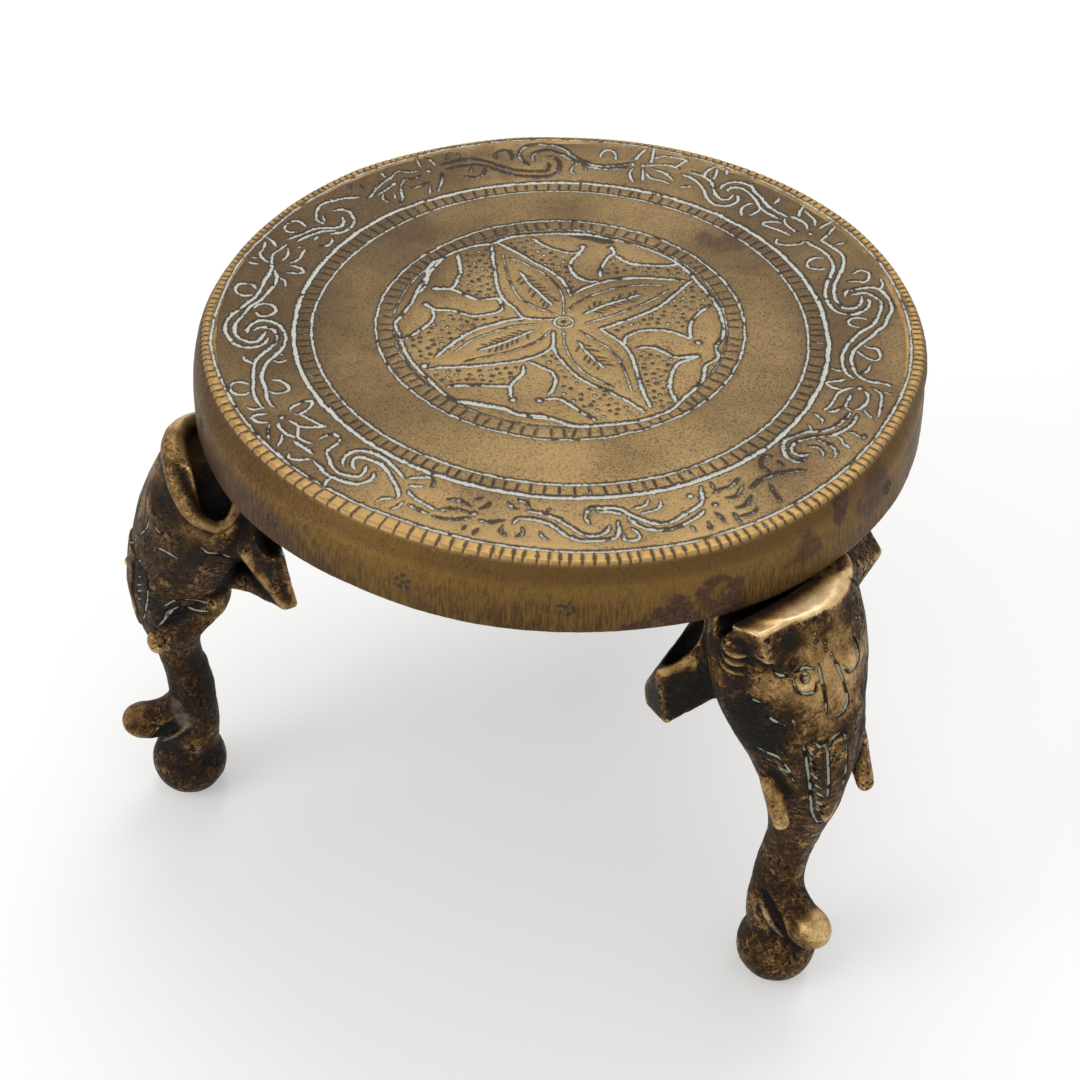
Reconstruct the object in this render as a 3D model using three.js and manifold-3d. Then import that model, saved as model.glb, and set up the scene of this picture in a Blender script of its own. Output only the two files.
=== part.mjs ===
// A small round low table of cast brass: a flat top with a deep turned-down skirt, standing on three
// cast legs. Each leg is an elephant's head whose trunk runs down to a ball foot.
// Millimetres, +Z up. The origin is the middle of the table's footprint, on the floor.

import * as THREE from 'three';
import { mergeVertices } from 'three/addons/utils/BufferGeometryUtils.js';
import Module from 'manifold-3d';

const wasm = await Module();
wasm.setup();

// Top casting
const tableHeight = 160;
const hemRadius = 103.4; // the skirt's lower edge, which is the widest
const rimInset = 4.6; // milled edge of the flat face, inside the hem's radius
const rimRound = 0.9;
const shoulderInset = 2; // rounded edge, inside the hem's radius
const shoulderDrop = 3.6;
const bellyInset = 0.4;
const bellyDrop = 11;
const skirtDepth = 21.4;
const skirtWall = 3.8;
const plateThickness = 4.6;
const innerFillet = 3;

// Engraving: the face's main lines, which are shallow grooves
const grooveWidth = 1.6;
const grooveDepth = 0.5;
const ringShares = [0.45, 0.515, 0.695, 0.75]; // plain rings, as shares of the flat face's radius
const scrollWaves = 9; // turns of the border's scroll
const scrollShares = [0.86, 0.055]; // middle and swing, as shares of the flat face's radius
const petalCount = 4;
const petalTurn = 53; // degrees from +X to the first petal's tip
// Half of a petal's outline from its tip: along and beside its middle line, as shares of the same radius
const petalShares = [[0.44, 0], [0.36, 0.065], [0.25, 0.1], [0.14, 0.075], [0.08, 0]];

// Leg placing
const footOutset = 12.3; // ball centre beyond the hem
const frontLegSpread = 124.25; // degrees from the rear leg to each front leg
const rearLegAngle = 90;

// Ball foot
const ballRadius = 11.4;
const footFlatDepth = 1.2; // worn flat that the foot stands on

// Elephant's head
const crownGap = 1.5; // below the hem
const headLength = 82;
const headDepth = 42;
const headWidth = 50;
const lipGap = 4.6; // open groove between the hem and the head's raised lip
const lipGrooveDepth = 7;

// Trunk
const trunkDepth = 13.4;
const trunkWidth = 15.2;
const tipReach = 12.6; // how far the curled tip stands out from the ball's centre
const tipRise = 20.5; // middle of the curled tip above the ball's centre
const tipThickness = 13.6;

// Tusks
const tuskThickness = 6.4;
const tuskLength = 30;
const tuskSpread = 15; // tips, each side of the middle

// Ears
const earReach = 36; // ear tip, each side of the middle
const earDepth = 21;
const earHeight = 14;
const earDroop = 7;
const earPitch = 6; // back rim above the front rim, from the level
const earDrop = 14; // ear's root below the crown
const earInset = 15.5; // middle of the ear inside the hem
const earHollowDepth = 7;
const earRound = 2.3; // bevel round the flap

// Fixing flange, inside the skirt
const flangeThickness = 4.2;
const flangeWidth = 50;
const flangeDepth = 21;
const flangeCorner = 6;
const flangeInset = 23; // middle of the flange inside the hem
const neckWidth = 25;
const neckDepth = 15;
const neckSink = 14; // neck's lower end below the crown, inside the head
const seatGap = 0.3; // clearance between seated faces

// Bosses and screws
const bossHeight = 4;
const bossRadius = 6.2;
const screwSpacing = 37;
const screwRadius = 2;
const screwHoleGap = 0.35;
const screwLength = 9.4;
const screwHeadRadius = 4.1;
const screwHeadHeight = 2.4;
const slotWidth = 1;
const slotDepth = 1.1;
const screwEndGap = 0.6;

const cutOverrun = 2;

// How finely round shapes are faceted
const topSteps = 72;
const grooveSteps = 36;
const waveSteps = 6; // for one turn of the scroll
const ringSteps = 22;
const smallSteps = 16;

// Worked out from the sizes above
const rimRadius = hemRadius - rimInset;
const shoulderRadius = hemRadius - shoulderInset;
const bellyRadius = hemRadius - bellyInset;
const ballHeight = ballRadius - footFlatDepth;
const footReach = hemRadius + footOutset;
const hemHeight = tableHeight - skirtDepth;
const crownHeight = hemHeight - crownGap;
const plateUnderside = tableHeight - plateThickness;
const flangeTop = plateUnderside - bossHeight - seatGap;
const flangeUnderside = flangeTop - flangeThickness;
const flangeReach = hemRadius - flangeInset;

const goldBrass = new THREE.MeshStandardMaterial({ color: '#8d6f3c', roughness: 0.42, metalness: 1 });
const darkBrass = new THREE.MeshStandardMaterial({ color: '#5d4527', roughness: 0.5, metalness: 1 });
const screwBrass = new THREE.MeshStandardMaterial({ color: '#9a7a45', roughness: 0.4, metalness: 1 });

// Solids are joined and cut as closed meshes that share their corner points.
function solidFrom(geometry) {
  const bare = geometry.clone();
  bare.deleteAttribute('normal');
  bare.deleteAttribute('uv');
  const merged = mergeVertices(bare);
  const vertProperties = new Float32Array(merged.attributes.position.array);
  const triVerts = new Uint32Array(merged.index.array);
  return new wasm.Manifold(new wasm.Mesh({ numProp: 3, vertProperties, triVerts }));
}

function geometryFrom(solid) {
  const mesh = solid.getMesh();
  const geometry = new THREE.BufferGeometry();
  geometry.setAttribute('position', new THREE.BufferAttribute(new Float32Array(mesh.vertProperties), 3));
  geometry.setIndex(new THREE.BufferAttribute(new Uint32Array(mesh.triVerts), 1));
  geometry.computeVertexNormals();
  return geometry;
}

function placedSolid(geometry, position, rotation = new THREE.Euler()) {
  const matrix = new THREE.Matrix4().makeRotationFromEuler(rotation).setPosition(position);
  return solidFrom(geometry.clone().applyMatrix4(matrix));
}

// A unit cylinder whose rows are moved to follow a form: place(share, across, along) gives the point
// for a share of the length and a direction round the section.
function formedCylinder(rows, steps, place) {
  const geometry = new THREE.CylinderGeometry(1, 1, 1, steps, rows);
  const points = geometry.attributes.position;
  for (let i = 0; i < points.count; i += 1) {
    const share = 0.5 - points.getY(i);
    const point = place(share, points.getX(i), points.getZ(i));
    points.setXYZ(i, point.x, point.y, point.z);
  }
  return geometry;
}

// Rows of a table of shares, joined by a smooth curve of three values.
function smoothRows(rows) {
  return new THREE.CatmullRomCurve3(rows.map((row) => new THREE.Vector3(...row)), false, 'centripetal');
}

// A tube of changing thickness along a path, with its section's second axis held towards "side".
function taperedTube(path, thicknesses, side, rows, steps) {
  return formedCylinder(rows, steps, (share, x, z) => {
    const middle = path.getPoint(share);
    const along = path.getTangent(share);
    const normal = new THREE.Vector3().crossVectors(side, along).normalize();
    const binormal = new THREE.Vector3().crossVectors(along, normal);
    const size = thicknesses.getPoint(share);
    return middle.addScaledVector(normal, x * size.x / 2).addScaledVector(binormal, z * size.y / 2);
  });
}

// Top: plate and skirt are one lathe-turned shell, open below, with six bosses under it and its main
// engraved lines cut into the face.
function topProfile() {
  const innerRadius = hemRadius - skirtWall;
  const shape = new THREE.Path();
  shape.moveTo(0, tableHeight);
  shape.lineTo(rimRadius - rimRound, tableHeight);
  shape.quadraticCurveTo(rimRadius, tableHeight, rimRadius + rimRound, tableHeight - rimRound);
  shape.quadraticCurveTo(shoulderRadius, tableHeight - rimRound, shoulderRadius, tableHeight - shoulderDrop);
  shape.quadraticCurveTo(bellyRadius, tableHeight - shoulderDrop, bellyRadius, tableHeight - bellyDrop);
  shape.lineTo(hemRadius, hemHeight);
  shape.lineTo(innerRadius, hemHeight);
  shape.lineTo(innerRadius, plateUnderside - innerFillet);
  shape.quadraticCurveTo(innerRadius, plateUnderside, innerRadius - innerFillet, plateUnderside);
  shape.lineTo(0, plateUnderside);
  return shape.getPoints(3);
}

// The lathe turns about Y, so its result is stood up onto Z.
function turnedAboutZ(profile, steps) {
  return new THREE.LatheGeometry(profile, steps).rotateX(Math.PI / 2);
}

const legAngles = {
  rear: rearLegAngle,
  left: rearLegAngle + frontLegSpread,
  right: rearLegAngle - frontLegSpread,
};

// Places a point given in a leg's frame (outward, sideways) in the table's frame.
function inTableFrame(angle, outward, sideways) {
  const middle = new THREE.Vector2();
  return new THREE.Vector2(outward, sideways).rotateAround(middle, THREE.MathUtils.degToRad(angle));
}

function screwPlaces(angle) {
  return [-1, 1].map((sign) => inTableFrame(angle, flangeReach, sign * screwSpacing / 2));
}

function uprightCylinder(radius, length) {
  return new THREE.CylinderGeometry(radius, radius, length, smallSteps).rotateX(Math.PI / 2);
}

// A closed line's points moved sideways by half a groove's width, to the left for a positive sign.
function besideLine(points, sign) {
  const middle = new THREE.Vector2();
  return points.map((point, i) => {
    const before = points[(i + points.length - 1) % points.length];
    const after = points[(i + 1) % points.length];
    const sideways = after.clone().sub(before).normalize().rotateAround(middle, Math.PI / 2);
    return point.clone().addScaledVector(sideways, sign * grooveWidth / 2);
  });
}

// What is cut from the face along a closed line that runs anticlockwise.
function grooveAlong(points) {
  const shape = new THREE.Shape(besideLine(points, -1));
  shape.holes.push(new THREE.Path(besideLine(points, 1)));
  const geometry = new THREE.ExtrudeGeometry(shape, { depth: grooveDepth + cutOverrun, bevelEnabled: false });
  return placedSolid(geometry, new THREE.Vector3(0, 0, tableHeight - grooveDepth));
}

// A line round the axis, whose radius follows the direction.
function lineRound(steps, radiusAt) {
  return Array.from({ length: steps }, (_, i) => {
    const turn = 2 * Math.PI * i / steps;
    return new THREE.Vector2(Math.cos(turn), Math.sin(turn)).multiplyScalar(radiusAt(turn));
  });
}

function petalLine(turn) {
  const middle = new THREE.Vector2();
  const oneSide = petalShares.map(([along, beside]) => new THREE.Vector2(along, beside));
  const otherSide = oneSide.slice(1, -1).reverse().map((point) => new THREE.Vector2(point.x, -point.y));
  const petal = [...oneSide, ...otherSide];
  return petal.map((point) => point.multiplyScalar(rimRadius).rotateAround(middle, turn));
}

function engravedLines() {
  const rings = ringShares.map((share) => lineRound(grooveSteps, () => share * rimRadius));
  const [scrollMiddle, scrollSwing] = scrollShares;
  const scroll = lineRound(scrollWaves * waveSteps, (turn) => (
    rimRadius * (scrollMiddle + scrollSwing * Math.sin(scrollWaves * turn))));
  const petals = Array.from({ length: petalCount }, (_, i) => (
    petalLine(THREE.MathUtils.degToRad(petalTurn + 360 * i / petalCount))));
  return [...rings, scroll, ...petals];
}

function makeTop() {
  let top = solidFrom(turnedAboutZ(topProfile().reverse(), topSteps));
  const bossLength = bossHeight + plateThickness / 2;
  const holeLength = screwLength - flangeThickness - seatGap + screwEndGap + cutOverrun;
  for (const angle of Object.values(legAngles)) {
    for (const spot of screwPlaces(angle)) {
      const bossMiddle = plateUnderside - bossHeight + bossLength / 2;
      const boss = uprightCylinder(bossRadius, bossLength);
      top = top.add(placedSolid(boss, new THREE.Vector3(spot.x, spot.y, bossMiddle)));
    }
    for (const spot of screwPlaces(angle)) {
      const holeMiddle = plateUnderside - bossHeight - cutOverrun + holeLength / 2;
      const hole = uprightCylinder(screwRadius + screwHoleGap, holeLength);
      top = top.subtract(placedSolid(hole, new THREE.Vector3(spot.x, spot.y, holeMiddle)));
    }
  }
  for (const line of engravedLines()) {
    top = top.subtract(grooveAlong(line));
  }
  return geometryFrom(top);
}

// Leg frame: x outward from the table's axis, y sideways, z up from the floor.

// Head stations from the crown down: share of the head's length, then how far the front and the back
// stand from the foot's centre line as shares of the head's depth, and the width share.
const headShares = [
  [0.0, -0.08, -0.70, 0.76],
  [0.06, -0.04, -0.73, 0.84],
  [0.14, 0.03, -0.745, 0.91],
  [0.24, 0.1, -0.72, 0.95],
  [0.36, 0.165, -0.66, 0.90],
  [0.48, 0.22, -0.53, 0.78],
  [0.6, 0.25, -0.40, 0.62],
  [0.72, 0.235, -0.30, 0.49],
  [0.84, 0.195, -0.22, 0.40],
  [1.0, 0.08, -0.12, 0.2],
];

function makeHead() {
  const front = smoothRows(headShares.map((row) => [row[0], row[1], row[2]]));
  const width = smoothRows(headShares.map((row) => [row[0], row[3], 0]));
  const frontNarrowShare = 0.2;
  return formedCylinder(headShares.length + 4, ringSteps, (share, x, z) => {
    const row = front.getPoint(share);
    const half = headWidth * width.getPoint(share).y / 2;
    const middle = footReach + headDepth * (row.y + row.z) / 2;
    const depth = headDepth * (row.y - row.z) / 2;
    const narrowing = 1 - frontNarrowShare * Math.max(x, 0);
    return new THREE.Vector3(middle + depth * x, -half * z * narrowing, crownHeight - headLength * row.x);
  });
}

// Trunk stations from inside the head down to the ball: share of the way down to the ball's centre,
// the middle line as a share of the trunk's depth from the foot's centre, and two thickness shares.
const trunkShares = [
  [0.0, 0.05, 1.3, 1.4],
  [0.2, 0.0, 1.1, 1.15],
  [0.4, -0.12, 0.98, 1.0],
  [0.6, -0.25, 1.0, 0.98],
  [0.8, -0.22, 1.1, 1.05],
  [1.0, 0.0, 1.2, 1.2],
];
const trunkTopShare = 0.62; // of the head's length

function makeTrunk() {
  const topHeight = crownHeight - headLength * trunkTopShare;
  const drop = topHeight - ballHeight;
  const path = smoothRows(trunkShares.map((row) => [
    footReach + trunkDepth * row[1], 0, topHeight - drop * row[0],
  ]));
  const sizes = smoothRows(trunkShares.map((row) => [trunkDepth * row[2], trunkWidth * row[3], 0]));
  return taperedTube(path, sizes, new THREE.Vector3(0, 1, 0), trunkShares.length + 3, ringSteps);
}

// The trunk's tip leaves the shaft above the ball and curls outward, ending in a rounded knob.
const tipPathShares = [
  [-0.42, 2.0],
  [-0.3, 1.45],
  [0.1, 1.08],
  [0.6, 0.95],
  [1.1, 0.95],
  [1.38, 0.97],
];
const tipSizeShares = [0.5, 0.9, 0.96, 1.0, 0.92, 0.36];

function makeTrunkTip() {
  const path = smoothRows(tipPathShares.map((row) => [
    footReach + tipReach * row[0], 0, ballHeight + tipRise * row[1],
  ]));
  const sizes = smoothRows(tipSizeShares.map((share) => [tipThickness * share, tipThickness * share, 0]));
  return taperedTube(path, sizes, new THREE.Vector3(0, 1, 0), tipPathShares.length + 3, smallSteps);
}

// Tusks leave the jaw each side of the trunk and run down and forward to blunt tips.
const tuskPathShares = [
  [-0.3, 0.7, 0.9],
  [-0.02, 0.85, 0.66],
  [0.18, 0.94, 0.34],
  [0.26, 1.0, 0.0],
];
const tuskSizeShares = [1.2, 1.3, 1.05, 0.4];
const tuskTipShare = 0.79; // of the head's length

function makeTusk(sign) {
  const tipHeight = crownHeight - headLength * tuskTipShare;
  const path = smoothRows(tuskPathShares.map((row) => [
    footReach + tuskLength * row[0], sign * tuskSpread * row[1], tipHeight + tuskLength * row[2],
  ]));
  const sizes = smoothRows(tuskSizeShares.map((share) => [tuskThickness * share, tuskThickness * share, 0]));
  return taperedTube(path, sizes, new THREE.Vector3(0, 1, 0), tuskPathShares.length + 2, smallSteps / 2);
}

// An ear is a thick flap with a hollowed upper face. Its outline is drawn in plan on one side.
const earOutlineShares = [
  [0.5, 0.25],
  [0.5, 0.6],
  [0.4, 0.9],
  [0.15, 1.0],
  [-0.2, 0.94],
  [-0.46, 0.65],
  [-0.5, 0.25],
];
const earHollowShares = [0.34, 0.36]; // half its size, of the ear's depth and reach
const earHollowMiddleShare = 0.62; // of the ear's reach

function makeEar(sign) {
  const outline = new THREE.Shape();
  const corners = earOutlineShares.map((row) => new THREE.Vector2(earDepth * row[0], earReach * row[1]));
  outline.moveTo(corners[0].x, corners[0].y);
  outline.splineThru(corners.slice(1));
  outline.closePath();
  const flap = new THREE.ExtrudeGeometry(outline, {
    depth: earHeight - 2 * earRound,
    bevelThickness: earRound,
    bevelSize: earRound,
    bevelOffset: -earRound,
    bevelSegments: 1,
    curveSegments: 2,
  });
  const topHeight = crownHeight - earDrop;
  const tilt = new THREE.Euler(-Math.atan2(earDroop, earReach), Math.atan2(earPitch, earDepth), 0);
  const middle = hemRadius - earInset;
  let ear = placedSolid(flap, new THREE.Vector3(middle, 0, topHeight - earHeight), tilt);
  const hollow = new THREE.SphereGeometry(1, smallSteps, smallSteps / 2);
  hollow.scale(earDepth * earHollowShares[0], earReach * earHollowShares[1], earHollowDepth);
  const hollowPlace = new THREE.Vector3(
    middle,
    earReach * earHollowMiddleShare,
    topHeight - earDroop * earHollowMiddleShare,
  );
  ear = ear.subtract(placedSolid(hollow, hollowPlace, tilt));
  return sign > 0 ? ear : ear.mirror([0, 1, 0]);
}

// The groove follows the table's hem, and leaves the head's front edge standing as a lip.
function makeLipGroove() {
  const outer = hemRadius + lipGap;
  const inner = hemRadius - skirtWall - lipGap / 2;
  const bottom = crownHeight - lipGrooveDepth;
  const shape = new THREE.Path();
  shape.moveTo(inner, crownHeight + cutOverrun);
  shape.lineTo(inner, bottom + lipGap);
  shape.quadraticCurveTo(inner, bottom, hemRadius - skirtWall / 2, bottom);
  shape.quadraticCurveTo(outer - lipGap / 2, bottom, outer, crownHeight + cutOverrun);
  shape.lineTo(inner, crownHeight + cutOverrun);
  return turnedAboutZ(shape.getPoints(4), topSteps);
}

// The neck rises inside the skirt from the head to the flange.
const neckShares = [
  [0.0, 0.0, 1.0, 1.0],
  [0.35, 0.1, 1.05, 1.05],
  [0.7, 0.55, 1.25, 1.3],
  [1.0, 1.1, 1.3, 1.4],
];

function makeNeck() {
  const bottom = crownHeight - neckSink;
  const top = flangeUnderside + flangeThickness / 2;
  const path = smoothRows(neckShares.map((row) => [
    flangeReach + neckDepth * row[1], 0, top - (top - bottom) * row[0],
  ]));
  const sizes = smoothRows(neckShares.map((row) => [neckDepth * row[2], neckWidth * row[3], 0]));
  return taperedTube(path, sizes, new THREE.Vector3(0, 1, 0), neckShares.length, ringSteps);
}

function roundedPlate(depth, width, corner) {
  const shape = new THREE.Shape();
  const x = depth / 2;
  const y = width / 2;
  shape.moveTo(-x + corner, -y);
  shape.lineTo(x - corner, -y);
  shape.absarc(x - corner, -y + corner, corner, -Math.PI / 2, 0);
  shape.lineTo(x, y - corner);
  shape.absarc(x - corner, y - corner, corner, 0, Math.PI / 2);
  shape.lineTo(-x + corner, y);
  shape.absarc(-x + corner, y - corner, corner, Math.PI / 2, Math.PI);
  shape.lineTo(-x, -y + corner);
  shape.absarc(-x + corner, -y + corner, corner, Math.PI, Math.PI * 1.5);
  return shape;
}

function makeFlange() {
  const shape = roundedPlate(flangeDepth, flangeWidth, flangeCorner);
  for (const sign of [-1, 1]) {
    const hole = new THREE.Path();
    hole.absarc(0, sign * screwSpacing / 2, screwRadius + screwHoleGap, 0, Math.PI * 2);
    shape.holes.push(hole);
  }
  return new THREE.ExtrudeGeometry(shape, { depth: flangeThickness, bevelEnabled: false, curveSegments: 5 });
}

function makeLeg() {
  let leg = solidFrom(makeHead());
  leg = leg.add(solidFrom(makeTrunk()));
  leg = leg.add(solidFrom(makeTrunkTip()));
  for (const sign of [-1, 1]) {
    leg = leg.add(makeEar(sign));
    leg = leg.add(solidFrom(makeTusk(sign)));
  }
  leg = leg.add(solidFrom(makeNeck()));
  leg = leg.subtract(solidFrom(makeLipGroove()));
  leg = leg.add(placedSolid(makeFlange(), new THREE.Vector3(flangeReach, 0, flangeUnderside)));
  const ball = new THREE.SphereGeometry(ballRadius, ringSteps, ringSteps / 2);
  leg = leg.add(placedSolid(ball, new THREE.Vector3(footReach, 0, ballHeight)));
  const floorBlock = new THREE.BoxGeometry(footReach, footReach, ballRadius);
  leg = leg.subtract(placedSolid(floorBlock, new THREE.Vector3(footReach, 0, -ballRadius / 2)));
  return geometryFrom(leg);
}

// A round-head screw, standing in its hole with the head down.
function makeScrew() {
  const headTop = flangeUnderside - seatGap;
  const profile = new THREE.Path();
  profile.moveTo(0, headTop + screwLength);
  profile.lineTo(screwRadius, headTop + screwLength);
  profile.lineTo(screwRadius, headTop);
  profile.lineTo(screwHeadRadius, headTop);
  profile.quadraticCurveTo(screwHeadRadius, headTop - screwHeadHeight, 0, headTop - screwHeadHeight);
  const screw = solidFrom(turnedAboutZ(profile.getPoints(3).reverse(), smallSteps));
  const slot = new THREE.BoxGeometry(screwHeadRadius * 2 + cutOverrun, slotWidth, slotDepth + cutOverrun);
  const slotMiddle = headTop - screwHeadHeight + (slotDepth - cutOverrun) / 2;
  return geometryFrom(screw.subtract(placedSolid(slot, new THREE.Vector3(0, 0, slotMiddle))));
}

const table = new THREE.Group();

function addPiece(name, geometry, material, angle = 0, place = new THREE.Vector2()) {
  const mesh = new THREE.Mesh(geometry, material);
  mesh.name = name;
  mesh.position.set(place.x, place.y, 0);
  mesh.rotation.z = THREE.MathUtils.degToRad(angle);
  table.add(mesh);
}

addPiece('table_top', makeTop(), goldBrass);

const legGeometry = makeLeg();
const screwGeometry = makeScrew();
for (const [side, angle] of Object.entries(legAngles)) {
  addPiece(`leg_${side}`, legGeometry, darkBrass, angle);
  screwPlaces(angle).forEach((spot, index) => {
    addPiece(`leg_screw_${side}_${index + 1}`, screwGeometry, screwBrass, angle, spot);
  });
}

// The three legs reach out unevenly, so the group is moved until its footprint is centred.
table.updateMatrixWorld(true);
const footprint = new THREE.Box3().setFromObject(table, true);
const footprintMiddle = footprint.getCenter(new THREE.Vector3());
table.position.set(-footprintMiddle.x, -footprintMiddle.y, 0);
table.updateMatrixWorld(true);

export default table;
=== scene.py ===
import math

import bmesh
import bpy
import numpy as np
from mathutils import Euler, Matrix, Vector
from mathutils.bvhtree import BVHTree
from mathutils.kdtree import KDTree


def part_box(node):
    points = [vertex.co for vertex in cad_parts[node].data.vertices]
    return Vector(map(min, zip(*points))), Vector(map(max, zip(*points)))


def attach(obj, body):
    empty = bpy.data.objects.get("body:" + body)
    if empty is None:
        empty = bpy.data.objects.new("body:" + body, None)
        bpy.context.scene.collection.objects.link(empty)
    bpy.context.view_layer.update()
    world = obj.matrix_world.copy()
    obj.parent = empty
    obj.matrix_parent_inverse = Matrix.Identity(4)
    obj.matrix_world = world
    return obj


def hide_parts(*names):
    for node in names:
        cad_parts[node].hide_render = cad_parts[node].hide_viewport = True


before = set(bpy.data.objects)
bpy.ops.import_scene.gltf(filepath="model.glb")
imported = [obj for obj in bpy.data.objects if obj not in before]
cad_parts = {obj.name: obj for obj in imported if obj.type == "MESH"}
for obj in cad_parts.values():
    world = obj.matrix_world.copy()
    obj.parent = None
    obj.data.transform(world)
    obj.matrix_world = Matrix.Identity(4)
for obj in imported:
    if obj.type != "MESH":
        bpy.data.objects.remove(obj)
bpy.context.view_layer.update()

mm = 0.001
topLow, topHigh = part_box("table_top")
axisX, axisY = (topLow.x + topHigh.x) / 2 / mm, (topLow.y + topHigh.y) / 2 / mm  # the round top's axis, mm
tableHeight = topHigh.z / mm
patternTurn = 20.15  # the engraving was read with 0 degrees at the photo's right
print("frame loaded, top's axis at", round(axisX, 2), round(axisY, 2))


# camera
cameraSet = {
    "place": (171.6, -482.7, 517.0),  # mm, from the middle of the footprint
    "turn": (48.71, -1.0, 21.55),
    "lens": 73.33,
    "sensor": 36.0,
    "imageSize": 1080,
}


def makeCamera():
    data = bpy.data.cameras.new("photoCamera")
    data.lens = cameraSet["lens"]
    data.sensor_width = cameraSet["sensor"]
    data.sensor_fit = "HORIZONTAL"
    data.clip_start = 0.01
    camera = bpy.data.objects.new("photoCamera", data)
    camera.location = Vector(cameraSet["place"]) * mm
    camera.rotation_euler = Euler([math.radians(a) for a in cameraSet["turn"]])
    bpy.context.scene.collection.objects.link(camera)
    bpy.context.scene.camera = camera


# A photo pixel's line of sight, as a start and a direction in the row frame, mm.
def sightLine(pixel):
    half = cameraSet["imageSize"] / 2
    perPixel = cameraSet["sensor"] / cameraSet["lens"] / cameraSet["imageSize"]
    turn = Euler([math.radians(a) for a in cameraSet["turn"]]).to_matrix()
    way = turn @ Vector(((pixel[0] - half) * perPixel, (half - pixel[1]) * perPixel, -1))
    return Vector(cameraSet["place"]), way.normalized()


# numbers
def smoothStep(low, high, value):
    share = np.clip((value - low) / (high - low), 0, 1)
    return share * share * (3 - 2 * share)


# Soft lumps of noise, -1 to 1, about one to a cell.
def planeNoise(x, y, cell, seed):
    lattice = np.random.default_rng(seed).uniform(-1, 1, (128, 128)).astype(np.float32)
    fx, fy = np.asarray(x) / cell, np.asarray(y) / cell
    ix, iy = np.floor(fx).astype(int), np.floor(fy).astype(int)
    sx, sy = smoothStep(0, 1, fx - ix), smoothStep(0, 1, fy - iy)
    ix, iy, jx, jy = ix % 128, iy % 128, (ix + 1) % 128, (iy + 1) % 128
    low = lattice[ix, iy] * (1 - sx) + lattice[jx, iy] * sx
    high = lattice[ix, jy] * (1 - sx) + lattice[jx, jy] * sx
    return low * (1 - sy) + high * sy


def spaceNoise(points, cell, seed):
    lattice = np.random.default_rng(seed).uniform(-1, 1, (32, 32, 32)).astype(np.float32)
    place = points / cell
    base = np.floor(place).astype(int)
    share = smoothStep(0, 1, place - base)
    total = np.zeros(len(points), np.float32)
    for corner in range(8):
        step = np.array([corner & 1, corner >> 1 & 1, corner >> 2 & 1])
        weight = np.where(step == 1, share, 1 - share).prod(axis=1)
        at = (base + step) % 32
        total += weight * lattice[at[:, 0], at[:, 1], at[:, 2]]
    return total


# Reads a table of angle: value all the way round.
def roundTable(table, angle):
    keys = sorted(table)
    xs = [keys[-1] - 360] + keys + [keys[0] + 360]
    ys = [table[keys[-1]]] + [table[k] for k in keys] + [table[keys[0]]]
    return np.interp(np.asarray(angle) % 360, xs, ys)


# "12.4 82.1, 13.6 82.7; ..." to a list of strokes, each a list of number pairs.
def readStrokes(text):
    strokes = []
    for part in text.replace("\n", " ").split(";"):
        pairs = [tuple(float(v) for v in pair.split()) for pair in part.split(",") if pair.strip()]
        if pairs:
            strokes.append(np.array(pairs))
    return strokes


# A smooth line through the points, sampled about every "spacing".
def smoothLine(points, spacing):
    points = np.asarray(points, float)
    if len(points) < 2:
        return points
    ends = np.vstack([2 * points[0] - points[1], points, 2 * points[-1] - points[-2]])
    line = []
    for i in range(1, len(ends) - 2):
        a, b, c, d = ends[i - 1], ends[i], ends[i + 1], ends[i + 2]
        count = max(1, int(np.linalg.norm(c - b) / spacing))
        t = np.arange(count)[:, None] / count
        line.append(0.5 * (2 * b + (c - a) * t + (2 * a - 5 * b + 4 * c - d) * t**2
                           + (3 * b - a - 3 * c + d) * t**3))
    return np.vstack(line + [points[-1:]])


def polar(angle, radius):
    turn = np.radians(angle)
    return np.stack([radius * np.cos(turn), radius * np.sin(turn)], -1)


def insideOutline(x, y, outline):
    inside = np.zeros(np.shape(x), bool)
    for (ax, ay), (bx, by) in zip(outline, np.roll(outline, -1, 0)):
        crosses = ((ay > y) != (by > y)) & (x < (bx - ax) * (y - ay) / (by - ay + 1e-12) + ax)
        inside ^= crosses
    return inside


# engraving
engravingSet = {
    "step": 0.1,  # mm between the samples of the engraver's work
    "reach": 102.5,
    "stem": (1.6, 0.46),  # width and depth of a stroke, mm
    "leaf": (1.35, 0.4),
    "fine": (0.85, 0.26),
    "ring": (1.15, 0.4),
    "wideRing": (1.9, 0.46),
    "rung": (0.72, 0.34),
    "notch": (0.88, 0.45),
    "wobble": 0.09,
    "burr": 0.05,  # metal thrown up beside a stroke
    "slope": 0.15,  # soft fall of the face towards a stroke
    "ladderPitch": 2.65,  # degrees between the rungs of the outer ladder ring
    "medallionPitch": 3.9,  # and of the ring round the medallion
    "dotGap": 1.9,  # mm between the dots of the ground
    "gouge": (2.6, 0.6),
    "middle": (0.6, 0.7),  # of the medallion's centre mark, mm from the axis
    "middleRing": (1.2, 0.45),
    "seed": 11,
}

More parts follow.
